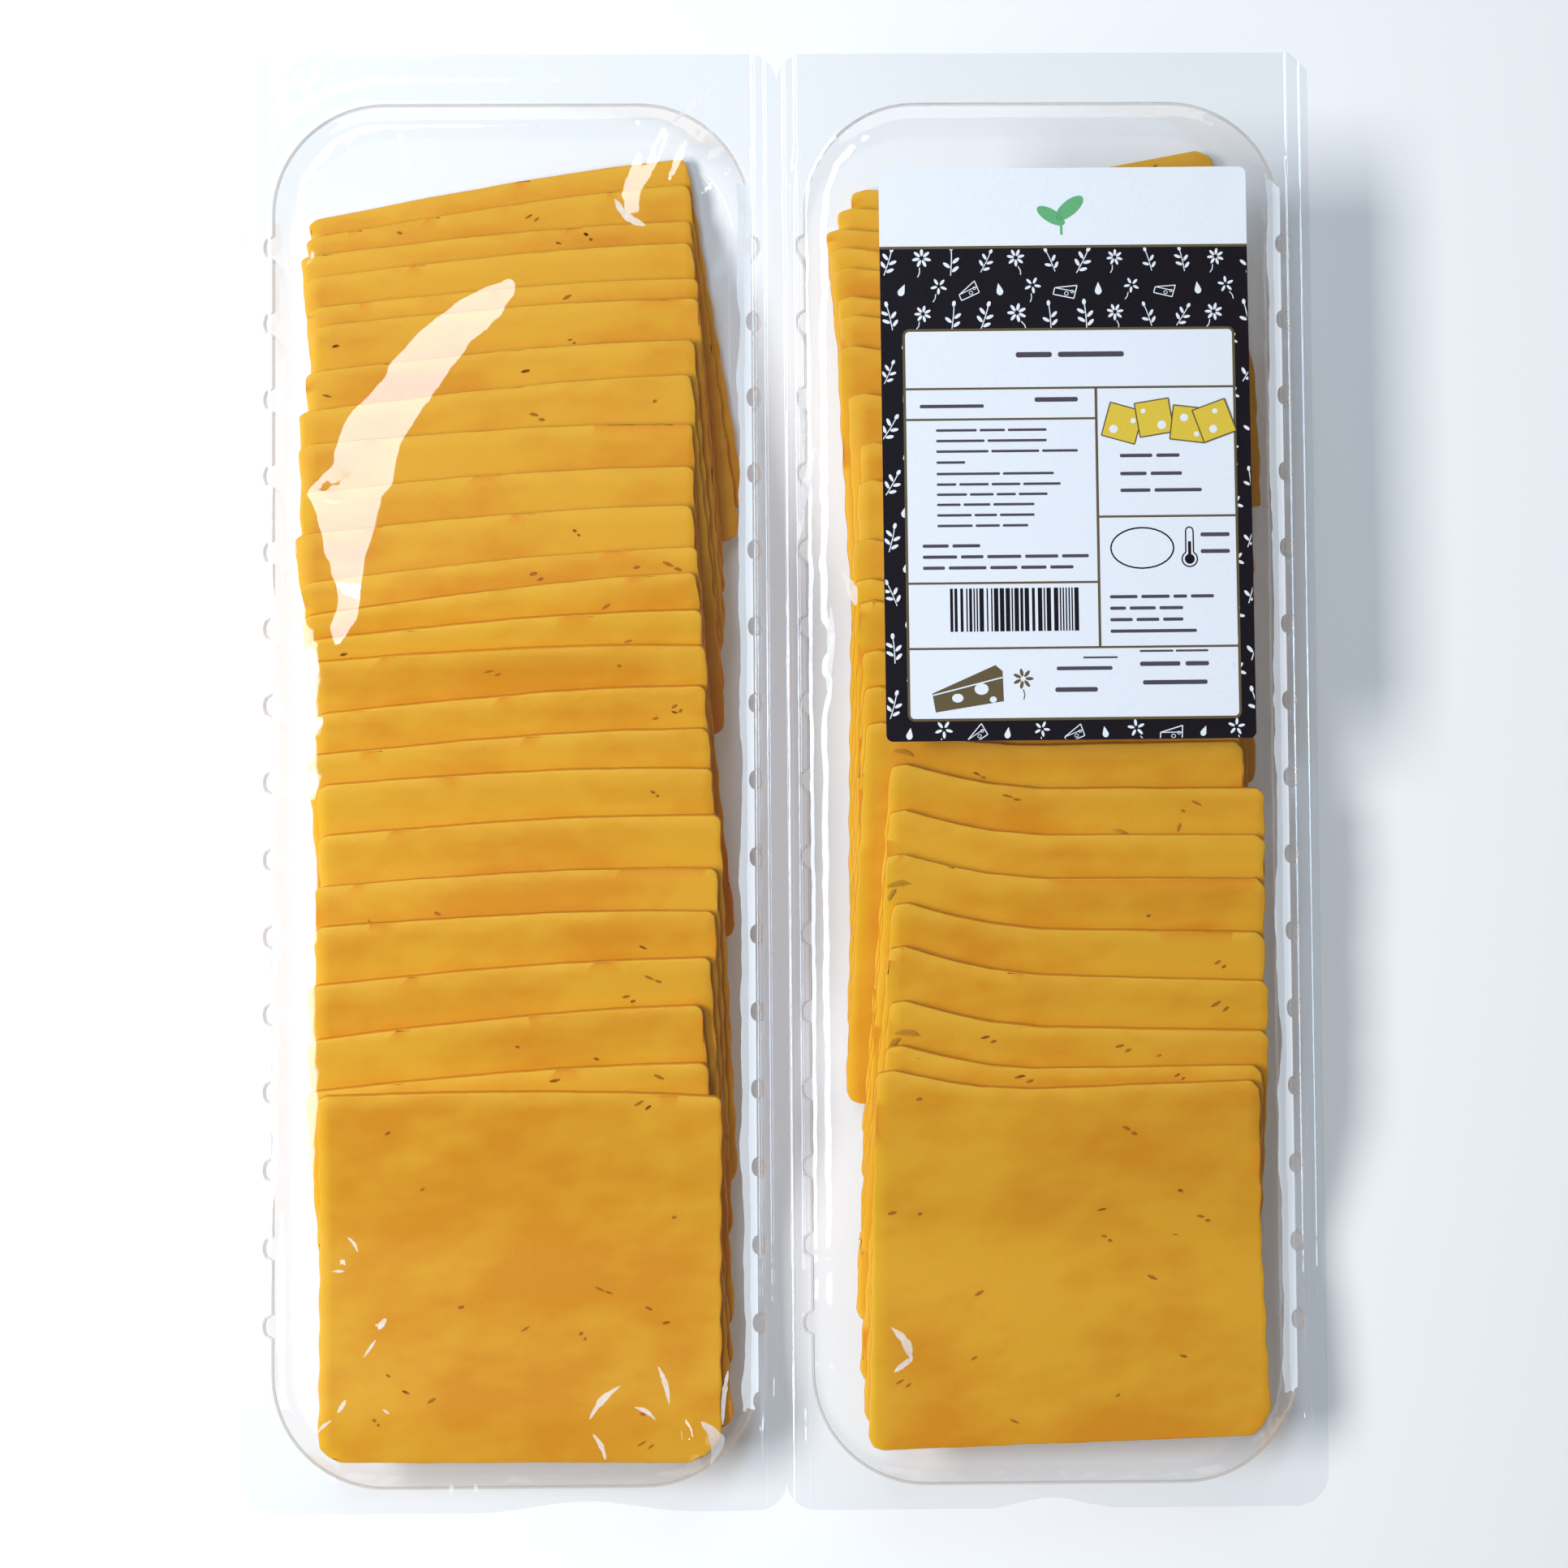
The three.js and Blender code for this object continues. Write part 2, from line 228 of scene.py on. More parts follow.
class Recipe:  # one material
    def __init__(self, name):
        self.material = bpy.data.materials.new(name)
        self.material.use_nodes = True
        self.tree = self.material.node_tree
        self.tree.nodes.clear()
        self.place = self.node("ShaderNodeTexCoord")["Object"]

    def node(self, kind, settings=None, sockets=None):
        made = self.tree.nodes.new(kind)
        for key, value in (settings or {}).items():
            if key == "stops":
                self.setStops(made.color_ramp, value)
            else:
                setattr(made, key, value)
        pairs = enumerate(sockets) if isinstance(sockets, list) else (sockets or {}).items()
        for key, value in pairs:
            if isinstance(value, Wire):
                self.tree.links.new(value.socket, made.inputs[key])
            else:
                made.inputs[key].default_value = value
        return Made(self, made)

    def setStops(self, ramp, stops):
        while len(ramp.elements) < len(stops):
            ramp.elements.new(0.5)
        for element, (position, colour) in zip(ramp.elements, stops):
            element.position = position
            element.color = colour

    def noise(self, scale, detail=2, vector=None, roughness=0.5):
        sockets = {"Vector": vector or self.place, "Scale": scale, "Detail": detail,
                   "Roughness": roughness}
        return self.node("ShaderNodeTexNoise", {}, sockets)["Fac"]

    def stretch(self, scale, turn=0):
        sockets = {"Vector": self.place, "Scale": scale, "Rotation": (0, 0, math.radians(turn))}
        return self.node("ShaderNodeMapping", {}, sockets)["Vector"]

    def blend(self, factor, first, second):
        sockets = {"Factor": factor, 6: first, 7: second}
        return Wire(self, self.node("ShaderNodeMix", {"data_type": "RGBA"}, sockets).shaderNode.outputs[2])

    def ramp(self, factor, stops):
        return self.node("ShaderNodeValToRGB", {"stops": stops}, {"Fac": factor})["Color"]

    def bump(self, height, strength, distance):
        sockets = {"Height": height, "Strength": strength, "Distance": distance}
        return self.node("ShaderNodeBump", {}, sockets)["Normal"]

    def finish(self, surface):
        self.node("ShaderNodeOutputMaterial", {}, {"Surface": surface})
        return self.material


def grey(value):
    return (value, value, value, 1)


cheeseLook = {
    "light": (0.765, 0.378, 0.014, 1),
    "deep": (0.695, 0.272, 0.002, 1),
    "glow": (0.84, 0.47, 0.008, 1),  # painted light along the left side, standing in for light that comes through the edge
    "dry": (0.84, 0.46, 0.035, 1),  # along the far edge of each slice: partly drier cheese, partly a painted highlight where the edge catches light
    "cut": (0.78, 0.27, 0.004, 1),  # painted shade on the sides of a slice: a deeper, redder orange
    # painted shade inside the small tears and holes
    "slit": (0.46, 0.13, 0.003, 1),
    "sheetStep": 0.37,  # how far apart in the noise two slices lie
    "roughness": 0.5,
    "subsurface": 0.2,
}


def cheeseMaterial():
    r = Recipe("cheese")
    split = r.node("ShaderNodeSeparateXYZ", {}, [r.place])
    sheet = r.node("ShaderNodeAttribute", {"attribute_name": "sheet"})["Fac"]

    def spot(squeeze, slant):  # a place within its own slice, so that no pattern follows the slope
        return r.node("ShaderNodeCombineXYZ", {}, [
            split["X"] * squeeze + split["Y"] * slant, split["Y"], sheet * cheeseLook["sheetStep"]])["Vector"]

    clouds = r.noise(22, 1, spot(1, -0.3))
    mottle = r.noise(75, 2, spot(0.8, -0.35))
    streaks = r.noise(240, 2, spot(0.45, -0.1))
    body = r.ramp(clouds * 0.52 + mottle * 0.32 + streaks * 0.16, [
        (0.39, cheeseLook["deep"]), (0.56, cheeseLook["light"])])
    dry = r.node("ShaderNodeAttribute", {"attribute_name": "dryness"})["Fac"]
    cut = r.node("ShaderNodeAttribute", {"attribute_name": "cut"})["Fac"]
    glow = r.node("ShaderNodeAttribute", {"attribute_name": "glow"})["Fac"]
    # painted light: lighter along the left side of each slice
    body = r.blend(glow * 0.85, body, cheeseLook["glow"])
    # lighter far edge of each slice: partly drier cheese, partly a painted highlight
    body = r.blend(dry * (streaks * 0.9 + 0.2), body, cheeseLook["dry"])
    # painted shade: the sides of each slice take a deeper orange
    colour = r.blend(cut * 0.8, body, cheeseLook["cut"])
    fine = r.noise(1300, 1)
    shader = r.node("ShaderNodeBsdfPrincipled", {}, {
        "Base Color": colour, "Roughness": cheeseLook["roughness"] + (streaks - 0.5) * 0.3,
        "Normal": r.bump(fine, 0.35, 0.0001), "Subsurface Weight": cheeseLook["subsurface"],
        "Subsurface Radius": (1.0, 0.45, 0.12), "Subsurface Scale": 0.0035, "IOR": 1.45,
        "Specular IOR Level": 0.25})
    return r.finish(shader["BSDF"])


trayLook = {
    "tint": (0.972, 0.979, 0.987, 1),
    "milk": 0.012,  # share of light that the sheet scatters, seen straight on
    "edgeMilk": 0.07,  # and seen along it
    "milkColour": (0.84, 0.89, 0.94, 1),
    "roughness": 0.07,
    "ior": 1.33,
    "mirror": 0.3,
    "bumpScale": 60,
    "bumpDepth": 0.0004,
    "rimLine": 0.45,  # how strongly the rounded rim shows as a thin line of painted shade
    # a brownish line of painted shade along the rounded rim
    "rimColour": (0.4, 0.31, 0.24, 1),
}
filmLook = {
    "tint": (0.992, 0.994, 0.996, 1),
    "milk": 0.003,
    "edgeMilk": 0.05,
    # also the colour of the weld band, which is partly a painted highlight
    "milkColour": (0.93, 0.955, 0.985, 1),
    "roughness": 0.045,
    "ior": 1.42,
    "mirror": 1,
    "bumpScale": 110,
    "bumpDepth": 0.00025,
    "weldRims": (-0.0065, 0.1139),  # rims with a milky band along their inner side: partly a weld, partly a painted highlight
    "weldWidth": 0.0027,
    "weldMilk": (0.45, 0.5),  # of the whole band, and what its outer half has more
    "weldSplit": 0.0012,
    "weldEnd": 0.137,
    "roughScale": 130,
    "ragged": (0.0034, 0.0012, 0.02),  # of its inner edge, its split and its ends
    "biteWidth": 0.0042,
    "biteDepth": 0.0012,
    "biteMargin": 0.0004,
}


def weldHighlightMask(r, look):  # a ragged band inside each rim, with a bite at every flute: milky weld and painted highlight
    split = r.node("ShaderNodeSeparateXYZ", {}, [r.place])
    x, y = split["X"], split["Y"]
    pitch, half = fluteShape["spacing"], look["biteWidth"] / 2
    turns = ((y - fluteShape["middle"]) * (1 / pitch) + 0.5).maths("FRACT")
    along = (turns - 0.5) * (pitch / half)
    bite = (1 - along * along).maths("MAXIMUM", 0).maths("SQRT") * look["biteDepth"]
    rough = r.noise(look["roughScale"], 3, r.stretch((1, 0.5, 1))) - 0.5
    edgeRagged, splitRagged, endRagged = look["ragged"]
    ends = (y - cavityY).maths("ABSOLUTE") + rough * endRagged < look["weldEnd"]
    inner, outer = look["weldMilk"]
    mask = 0
    for rim in look["weldRims"]:
        inside = (x - rim) * -1
        band = (inside > bite - look["biteMargin"]) * (inside + rough * edgeRagged < look["weldWidth"])
        mask = band * ((inside + rough * splitRagged < look["weldSplit"]) * outer + inner) + mask
    return mask * ends


def clearMaterial(name, look):
    r = Recipe(name)
    normal = r.bump(r.noise(look["bumpScale"], 2), 0.6, look["bumpDepth"])
    clear = r.node("ShaderNodeBsdfTransparent", {}, {"Color": look["tint"]})["BSDF"]
    milk = r.node("ShaderNodeBsdfDiffuse", {}, {"Color": look["milkColour"]})["BSDF"]
    gloss = r.node("ShaderNodeBsdfGlossy", {}, {"Color": grey(1), "Roughness": look["roughness"],
                                                "Normal": normal})["BSDF"]
    facing = r.node("ShaderNodeLayerWeight", {}, {"Blend": 0.5, "Normal": normal})["Facing"]
    haze = facing * facing * look["edgeMilk"] + look["milk"]
    # a milky weld band, partly a painted highlight, along the right-hand rims
    if "weldRims" in look:
        haze = (haze + weldHighlightMask(r, look)).maths("MINIMUM", 1)
    straight = ((look["ior"] - 1) / (look["ior"] + 1)) ** 2  # what a face mirrors straight on
    squared = facing * facing
    mirror = (squared * squared * facing * (1 - straight) + straight) * look["mirror"]
    body = r.node("ShaderNodeMixShader", {}, [haze, clear, milk])["Shader"]
    # painted shade: a dark line where the rim rounds over
    if "rimLine" in look:
        line = r.node("ShaderNodeBsdfDiffuse", {}, {"Color": look["rimColour"]})["BSDF"]
        share = r.node("ShaderNodeAttribute", {"attribute_name": "rimLine"})["Fac"] * look["rimLine"]
        body = r.node("ShaderNodeMixShader", {}, [share, body, line])["Shader"]
    return r.finish(r.node("ShaderNodeMixShader", {}, [mirror, body, gloss])["Shader"])


def inkMaterial(name, colour, roughness=0.4):
    r = Recipe(name)
    fibres = r.noise(2500, 1)
    light = tuple(c * 1.12 + 0.004 for c in colour[:3]) + (1,)
    shader = r.node("ShaderNodeBsdfPrincipled", {}, {
        "Base Color": r.blend(fibres, colour, light), "Roughness": roughness + (fibres - 0.5) * 0.2,
        "Normal": r.bump(fibres, 0.15, 0.00005), "Specular IOR Level": 0.12})
    return r.finish(shader["BSDF"])


fluteShape = {
    "count": 15,
    "spacing": 0.01735,
    "middle": -0.0013,
    "width": 0.0054,
    "depth": 0.002,
    "steps": 6,
}
cheese = cheeseMaterial()
trayPlastic = clearMaterial("trayPlastic", trayLook)
filmPlastic = clearMaterial("filmPlastic", filmLook)
paper = inkMaterial("labelPaper", (0.8, 0.83, 0.88, 1))
print("materials made")


# Slices

sliceShape = {
    "band": 0.008,  # the CAD slices bend along lines this far apart
    "grid": 0.003,
    "thickness": 0.00212,
    "edge": 0.00035,
    "wander": 0.00022,  # unevenness of a cut edge
    "swell": 0.00012,  # unevenness of the faces, shared by the whole row
    "swellScale": 45,
    "cornerCut": 0.0004,
    "wave": 0.00016,
    "waveLength": 0.0095,
    "ragged": [(90, 7.3, 0.7), (420, 3.1, 0.4)],  # scale, step from slice to slice and share
    # width of the lighter far edge, partly drier cheese and partly painted highlight
    "dryEdge": 0.004,
    # width of the painted light along the left side
    "glowEdge": 0.0038,
}


def cadOutline(node):  # the top edge of a CAD slice, in order, and its height along y
    bm = bmesh.new()
    bm.from_mesh(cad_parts[node].data)
    bmesh.ops.remove_doubles(bm, verts=bm.verts, dist=1e-6)
    bm.normal_update()
    top = [f for f in bm.faces if f.normal.z > 0.5]
    heights = sorted({(round(v.co.y, 6), v.co.z) for f in top for v in f.verts})
    rim = {}
    for f in top:
        for loop in f.loops:
            other = [g for g in loop.edge.link_faces if g is not f]
            if not other or other[0].normal.z <= 0.5:
                rim[loop.vert.index] = (loop.vert.co.copy(), loop.link_loop_next.vert.index)
    start = next(iter(rim))
    points, at = [], start
    while True:
        point, at = rim[at]
        points.append((point.x, point.y))
        if at == start:
            break
    bm.free()
    return points, heights


def evenHeights(heights, band):  # the height on each band line, run on straight past both ends
    def at(y):
        low = 0
        while low < len(heights) - 2 and (
                heights[low + 1][0] < y or heights[low + 1][0] - heights[low][0] < 1e-5):
            low += 1
        (y0, z0), (y1, z1) = heights[low], heights[low + 1]
        return z0 + (z1 - z0) * (y - y0) / (y1 - y0)
    first = math.floor(heights[0][0] / band) - 1
    last = math.ceil(heights[-1][0] / band) + 1
    return first, [at(i * band) for i in range(first, last + 1)]


def bentHeight(line, y, band):  # a smooth curve through the heights on the band lines
    first, values = line
    share = y / band - first
    i = min(max(int(share), 1), len(values) - 3)
    t = share - i
    a, b, c, d = values[i - 1:i + 3]
    return b + 0.5 * t * (c - a + t * (2 * a - 5 * b + 4 * c - d + t * (3 * (b - c) + d - a)))


def roundOutline(points, rounds, longest):  # cuts corners, then splits long stretches
    for _ in range(rounds):
        cut = []
        for (ax, ay), (bx, by) in zip(points, points[1:] + points[:1]):
            length = math.hypot(bx - ax, by - ay)
            share = min(0.25, sliceShape["cornerCut"] / max(length, 1e-6))
            cut += [(ax + (bx - ax) * s, ay + (by - ay) * s) for s in (share, 1 - share)]
        points = cut
    split = []
    for (ax, ay), (bx, by) in zip(points, points[1:] + points[:1]):
        count = max(1, math.ceil(math.hypot(bx - ax, by - ay) / longest))
        split += [(ax + (bx - ax) * i / count, ay + (by - ay) * i / count) for i in range(count)]
    return split


def uneven(points, middle, seed):  # a cut edge wanders, and the sides wave
    ragged = []
    for x, y in points:
        out = (Vector((x, y)) - middle).normalized()
        shift = sum(noise.noise(Vector((x * scale, y * scale, seed * step))) * share
                    for scale, step, share in sliceShape["ragged"])
        wave = math.sin(math.tau * y / sliceShape["waveLength"] + seed * 2.4) - 1
        side = smooth((abs(out.x) - 0.66) / 0.1)
        spot = Vector((x, y)) + out * (shift - 0.5) * sliceShape["wander"]
        spot.x += math.copysign(wave * side * sliceShape["wave"], out.x)
        ragged.append(tuple(spot))
    return ragged


def edgeTable(points, middle):  # the far edge of a slice, as pairs of x and y in order of x
    return sorted((x, y) for x, y in points if y - middle.y > abs(x - middle.x) * 0.8)


def leftTable(points, middle):  # its left side, as pairs of y and x in order of y
    return sorted((y, x) for x, y in points if middle.x - x > abs(y - middle.y) * 0.9)


def edgeAt(table, x):
    k = min(max(bisect.bisect(table, (x, 0)), 1), len(table) - 1)
    (x0, y0), (x1, y1) = table[k - 1], table[k]
    t = min(max((x - x0) / max(x1 - x0, 1e-7), 0), 1)
    return y0 + (y1 - y0) * t


def makeSlice(node, seed):
    outline, heights = cadOutline(node)
    line = evenHeights(heights, sliceShape["band"])
    middle = Vector((sum(p[0] for p in outline), sum(p[1] for p in outline))) / len(outline)
    ragged = uneven(roundOutline(outline, 2, 0.0016), middle, seed)
    table, left = edgeTable(ragged, middle), leftTable(ragged, middle)
    bm = flatSheet(ragged)
    cutNet(bm, sliceShape["grid"])
    for v in bm.verts:
        v.co.z = surfaceOf(line, v.co.x, v.co.y)
    bmesh.ops.recalc_face_normals(bm, faces=bm.faces)
    if sum(f.normal.z for f in bm.faces) < 0:
        bmesh.ops.reverse_faces(bm, faces=bm.faces)
    thicken(bm, sliceShape["thickness"])
    bm.normal_update()
    rim = [e for e in bm.edges if len(e.link_faces) == 2 and e.calc_face_angle() > math.radians(55)
           and any(abs(f.normal.z) > 0.7 for f in e.link_faces)]
    bmesh.ops.bevel(bm, geom=rim, offset=sliceShape["edge"], affect="EDGES", segments=2, profile=0.5,
                    material=-1)
    bm.normal_update()
    dryness, cut = bm.verts.layers.float.new("dryness"), bm.verts.layers.float.new("cut")
    sheet, glow = bm.verts.layers.float.new("sheet"), bm.verts.layers.float.new("glow")
    for v in bm.verts:
        v[sheet] = seed
        # painted light along the left side
        v[glow] = smooth(1 - (v.co.x - edgeAt(left, v.co.y)) / sliceShape["glowEdge"])
        # lighter far edge: partly drier cheese, partly a painted highlight
        v[dryness] = smooth(1 - (edgeAt(table, v.co.x) - v.co.y) / sliceShape["dryEdge"])
        # painted shade on the sides, by how steep the face is
        v[cut] = smooth(1.2 - abs(v.normal.z) * 1.3)
    makePiece(node + "_cheese", bm, cheese, node)
    return {"table": table, "line": line, "middle": middle}


def surfaceOf(line, x, y):
    scale = sliceShape["swellScale"]
    swell = noise.noise(Vector((x * scale, y * scale, 0))) * sliceShape["swell"]
    return bentHeight(line, y, sliceShape["band"]) + swell


laid = {"l": [], "r": []}
sliceNodes = sorted(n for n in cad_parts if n.startswith("slice_"))
for seed, node in enumerate(sliceNodes):
    laid[node.split("_")[1]].append(makeSlice(node, seed))
print("slices made:", len(sliceNodes))


# Slits of cheese, drawn as dark flat sheets of painted shade, and slivers of cheese

crumbShape = {
    "perSlice": (0, 0, 1, 1, 2, 3),
    "onLast": 16,
    "long": (0.0005, 0.0014),  # half length of a slit
    "wide": (0.00022, 0.0004),
    "lift": 0.00004,
    "skin": 0.00003,
    "halfSpread": 0.039,
    "crowding": 1.7,  # how much thicker they lie towards the right, but for the last slice
    "lastDepth": 0.082,
    "margins": (0.0018, 0.0012),  # from the far edge of a strip and from the next slice
    "turns": (-24, -14, 12, 30),
    "onlyIfDeeper": 0.0035,  # a strip that shows less than this has none
    "second": 0.35,  # chance of a second slit beside the first
}
sliverShape = {
    "steps": 8,
    "tip": (1.15, 0.04, 0.6),  # how the width runs out: speed, start and power
    "ragged": (0.7, 1.2),
    "bow": 0.1,
    "rise": 0.0002,  # over the slice at the ends, and as much again in the middle
    "sheet": 0.00018,
    "places": [  # middle, length, width and turn of shavings left on the right row
        (0.0282, 0.0048, 0.0052, 0.0011, -18), (0.0269, -0.0250, 0.0062, 0.0012, 4),
        (0.0252, -0.0268, 0.0035, 0.0009, 55), (0.0286, -0.0588, 0.0064, 0.0012, -8),
        (0.0256, -0.0604, 0.0038, 0.0011, 40), (0.0775, -0.0135, 0.0046, 0.0007, -28),
        (0.0905, -0.0118, 0.0024, 0.0006, 70), (0.0415, -0.0328, 0.0022, 0.0006, 25),
    ],
}


def topSlice(row, x, y):  # the uppermost slice whose far edge lies beyond this place
    return [s for s in laid[row] if edgeAt(s["table"], x) > y + 0.0004][-1]


def almond(x, y, long, wide, degrees, sides=8):
    ring = []
    for i in range(sides):
        a = math.tau * i / sides
        ring.append((long * math.cos(a), wide * math.sin(a) * abs(math.sin(a)) ** 0.4))
    return [turnedPoint(x, y, px, py, degrees) for px, py in ring]


def slitsOf(row, draws):  # small tears and holes, drawn flat in a dark colour of painted shade, more of them towards the right
    shapes = []
    slices = laid[row]
    farMargin, nearMargin = crumbShape["margins"]
    for i, slab in enumerate(slices):
        last = i == len(slices) - 1
        for _ in range(crumbShape["onLast"] if last else draws.choice(crumbShape["perSlice"])):
            crowding = 1 if last else crumbShape["crowding"]
            x = slab["middle"].x + crumbShape["halfSpread"] * (1 - 2 * draws.random() ** crowding)
            edge = edgeAt(slab["table"], x)
            depth = crumbShape["lastDepth"] if last else edge - edgeAt(slices[i + 1]["table"], x)
            if depth < crumbShape["onlyIfDeeper"]:
                continue
            y = edge - draws.uniform(farMargin, depth - nearMargin)
            turn = draws.choice(crumbShape["turns"])
            long, wide = draws.uniform(*crumbShape["long"]), draws.uniform(*crumbShape["wide"])
            shapes.append((slab, almond(x, y, long, wide, turn)))
            if draws.random() < crumbShape["second"]:
                shapes.append((slab, almond(x + long * 1.7, y - wide * 3, long * 0.7, wide, turn + 8)))
    return shapes


def makeSlits():
    draws = random.Random(3)
    bm = bmesh.new()
    for slab, outline in slitsOf("l", draws) + slitsOf("r", draws):
        corners = [(x, y, surfaceOf(slab["line"], x, y) + crumbShape["lift"]) for x, y in outline]
        bm.faces.new([bm.verts.new(corner) for corner in corners])
    thicken(bm, crumbShape["skin"])
    makePiece("cheese_slit_shades", bm, paintedSlitShade)


def makeSlivers():
    draws = random.Random(8)
    bm = bmesh.new()
    count = sliverShape["steps"]
    speed, begin, power = sliverShape["tip"]
    for x, y, length, width, degrees in sliverShape["places"]:
        slab = topSlice("r", x, y)
        sides = ([], [])
        for i in range(count + 1):
            t = i / count
            tip = math.sin(math.pi * min(t * speed + begin, 1)) ** power
            half = width / 2 * tip * draws.uniform(*sliverShape["ragged"])
            bow = math.sin(math.pi * t) * length * sliverShape["bow"]
            for across, points in zip((bow + half, bow - half), sides):
                points.append(turnedPoint(x, y, (t - 0.5) * length, across, degrees))
        rows = []
        for points in sides:
            row = []
            for i, (px, py) in enumerate(points):
                rise = sliverShape["rise"] + sliverShape["rise"] * math.sin(math.pi * i / count)
                row.append(bm.verts.new((px, py, surfaceOf(slab["line"], px, py) + rise)))
            rows.append(row)
        ribbon(bm, *rows)
    thicken(bm, sliverShape["sheet"])
    # the whole sliver takes the lighter far-edge colour, painted light that offsets the shade under it
    dryness = bm.verts.layers.float.new("dryness")
    for v in bm.verts:
        v[dryness] = 1
    makePiece("cheese_slivers", bm, cheese)


# the slits' dark colour is painted shade, where a tear or hole would lie in shade
paintedSlitShade = inkMaterial("paintedSlitShade", cheeseLook["slit"], 0.7)
makeSlits()
makeSlivers()
print("slits and slivers made")


# Tray

trayShape = {
    "sheet": 0.00045,
    "draft": 0.0015,
    "fillet": 0.003,
    "rimRound": 0.0008,
    "cornerSteps": 14,
}


def cavityOutline(side, inset, flute):
    radius = packShape["cavityCorner"] - inset
    right = side * cavityX + cavityHalfWidth - packShape["cavityCorner"]
    left = side * cavityX - cavityHalfWidth + packShape["cavityCorner"]
    near = cavityY - cavityHalfLength + packShape["cavityCorner"]
    far = cavityY + cavityHalfLength - packShape["cavityCorner"]
    turnSteps, fluteSteps = trayShape["cornerSteps"], fluteShape["steps"]

    def flutes(x, outward):
        points = []
        for i in range(fluteShape["count"]):
            place = outward * (i - (fluteShape["count"] - 1) / 2)
            y = fluteShape["middle"] + place * fluteShape["spacing"]
            for j in range(fluteSteps + 1):
                along = j / fluteSteps * 2 - 1
                out = math.sqrt(max(1 - along * along, 0)) * flute
                points.append((x + outward * out, y + outward * along * fluteShape["width"] / 2))
        return points

    return (arc(right, near, radius, -90, 0, turnSteps) + flutes(right + radius, 1)
            + arc(right, far, radius, 0, 90, turnSteps) + arc(left, far, radius, 90, 180, turnSteps)
            + flutes(left - radius, -1) + arc(left, near, radius, 180, 270, turnSteps))


def cavityLevels():  # inset, height and flute depth, from the rim down to the floor
    floor, fillet, rim = trayShape["sheet"], trayShape["fillet"], trayShape["rimRound"]
    levels = []
    for degrees in (30, 60, 90):  # rounded rim
        a = math.radians(degrees)
        levels.append((rim * (math.sin(a) - 1), flangeTop - rim * (1 - math.cos(a)), 1))
    top, bottom = levels[-1][1], floor + fillet
    for share in (0.03, 0.33, 0.66, 1):
        z = top + (bottom - top) * share
        levels.append((trayShape["draft"] * share, z, 1 - share))
    for degrees in (22, 45, 68, 90):
        a = math.radians(degrees)
        levels.append((trayShape["draft"] + fillet * (1 - math.cos(a)), bottom - fillet * math.sin(a), 0))
    return levels


def makeTray():
    bm = bmesh.new()
    rimLine = bm.verts.layers.float.new("rimLine")

    def ring(points, z):
        verts = [bm.verts.new((x, y, z)) for x, y in points]
        return [bm.edges.new((a, b)) for a, b in zip(verts, verts[1:] + verts[:1])]

    outer = ring(packOutline(), flangeTop)
    rims = [ring(cavityOutline(side, -trayShape["rimRound"], fluteShape["depth"]), flangeTop)
            for side in (-1, 1)]
    bmesh.ops.triangle_fill(bm, use_beauty=True, use_dissolve=True, edges=outer + rims[0] + rims[1])
    for side, edges in zip((-1, 1), rims):
        for level, (inset, z, flute) in enumerate(cavityLevels()):
            made = bmesh.ops.extrude_edge_only(bm, edges=edges)["geom"]
            verts = [g for g in made if isinstance(g, bmesh.types.BMVert)]
            edges = [g for g in made if isinstance(g, bmesh.types.BMEdge)]
            for v, (x, y) in zip(verts, cavityOutline(side, inset, fluteShape["depth"] * flute)):
                v.co = (x, y, z)
                # the line of painted shade lies on the rounded rim
                v[rimLine] = level in (1, 2)
        bmesh.ops.contextual_create(bm, geom=edges)
    bmesh.ops.remove_doubles(bm, verts=bm.verts, dist=1e-6)
    for x in beadLines:
        geom = [g for g in bm.faces if abs(g.calc_center_median().z - flangeTop) < 1e-5]
        parts = set(geom)
        for f in geom:
            parts.update(f.edges)
            parts.update(f.verts)
        bmesh.ops.bisect_plane(bm, geom=list(parts), plane_co=(x, 0, 0), plane_no=(1, 0, 0), dist=1e-6)
    for v in bm.verts:
        if abs(v.co.z - flangeTop) < 1e-6 and rimDistance(v.co.x, v.co.y) < -0.001:
            v.co.z += beadRise(v.co.x) * 0.4
    bmesh.ops.recalc_face_normals(bm, faces=bm.faces)
    highest = max(bm.faces, key=lambda f: f.calc_center_median().z)
    if highest.normal.z < 0:
        bmesh.ops.reverse_faces(bm, faces=bm.faces)
    thicken(bm, trayShape["sheet"])
    tray = makePiece("tray_formed", bm, trayPlastic, "tray", 50)
    tray.visible_shadow = tray.visible_diffuse = False


makeTray()
print("tray made")


# Film

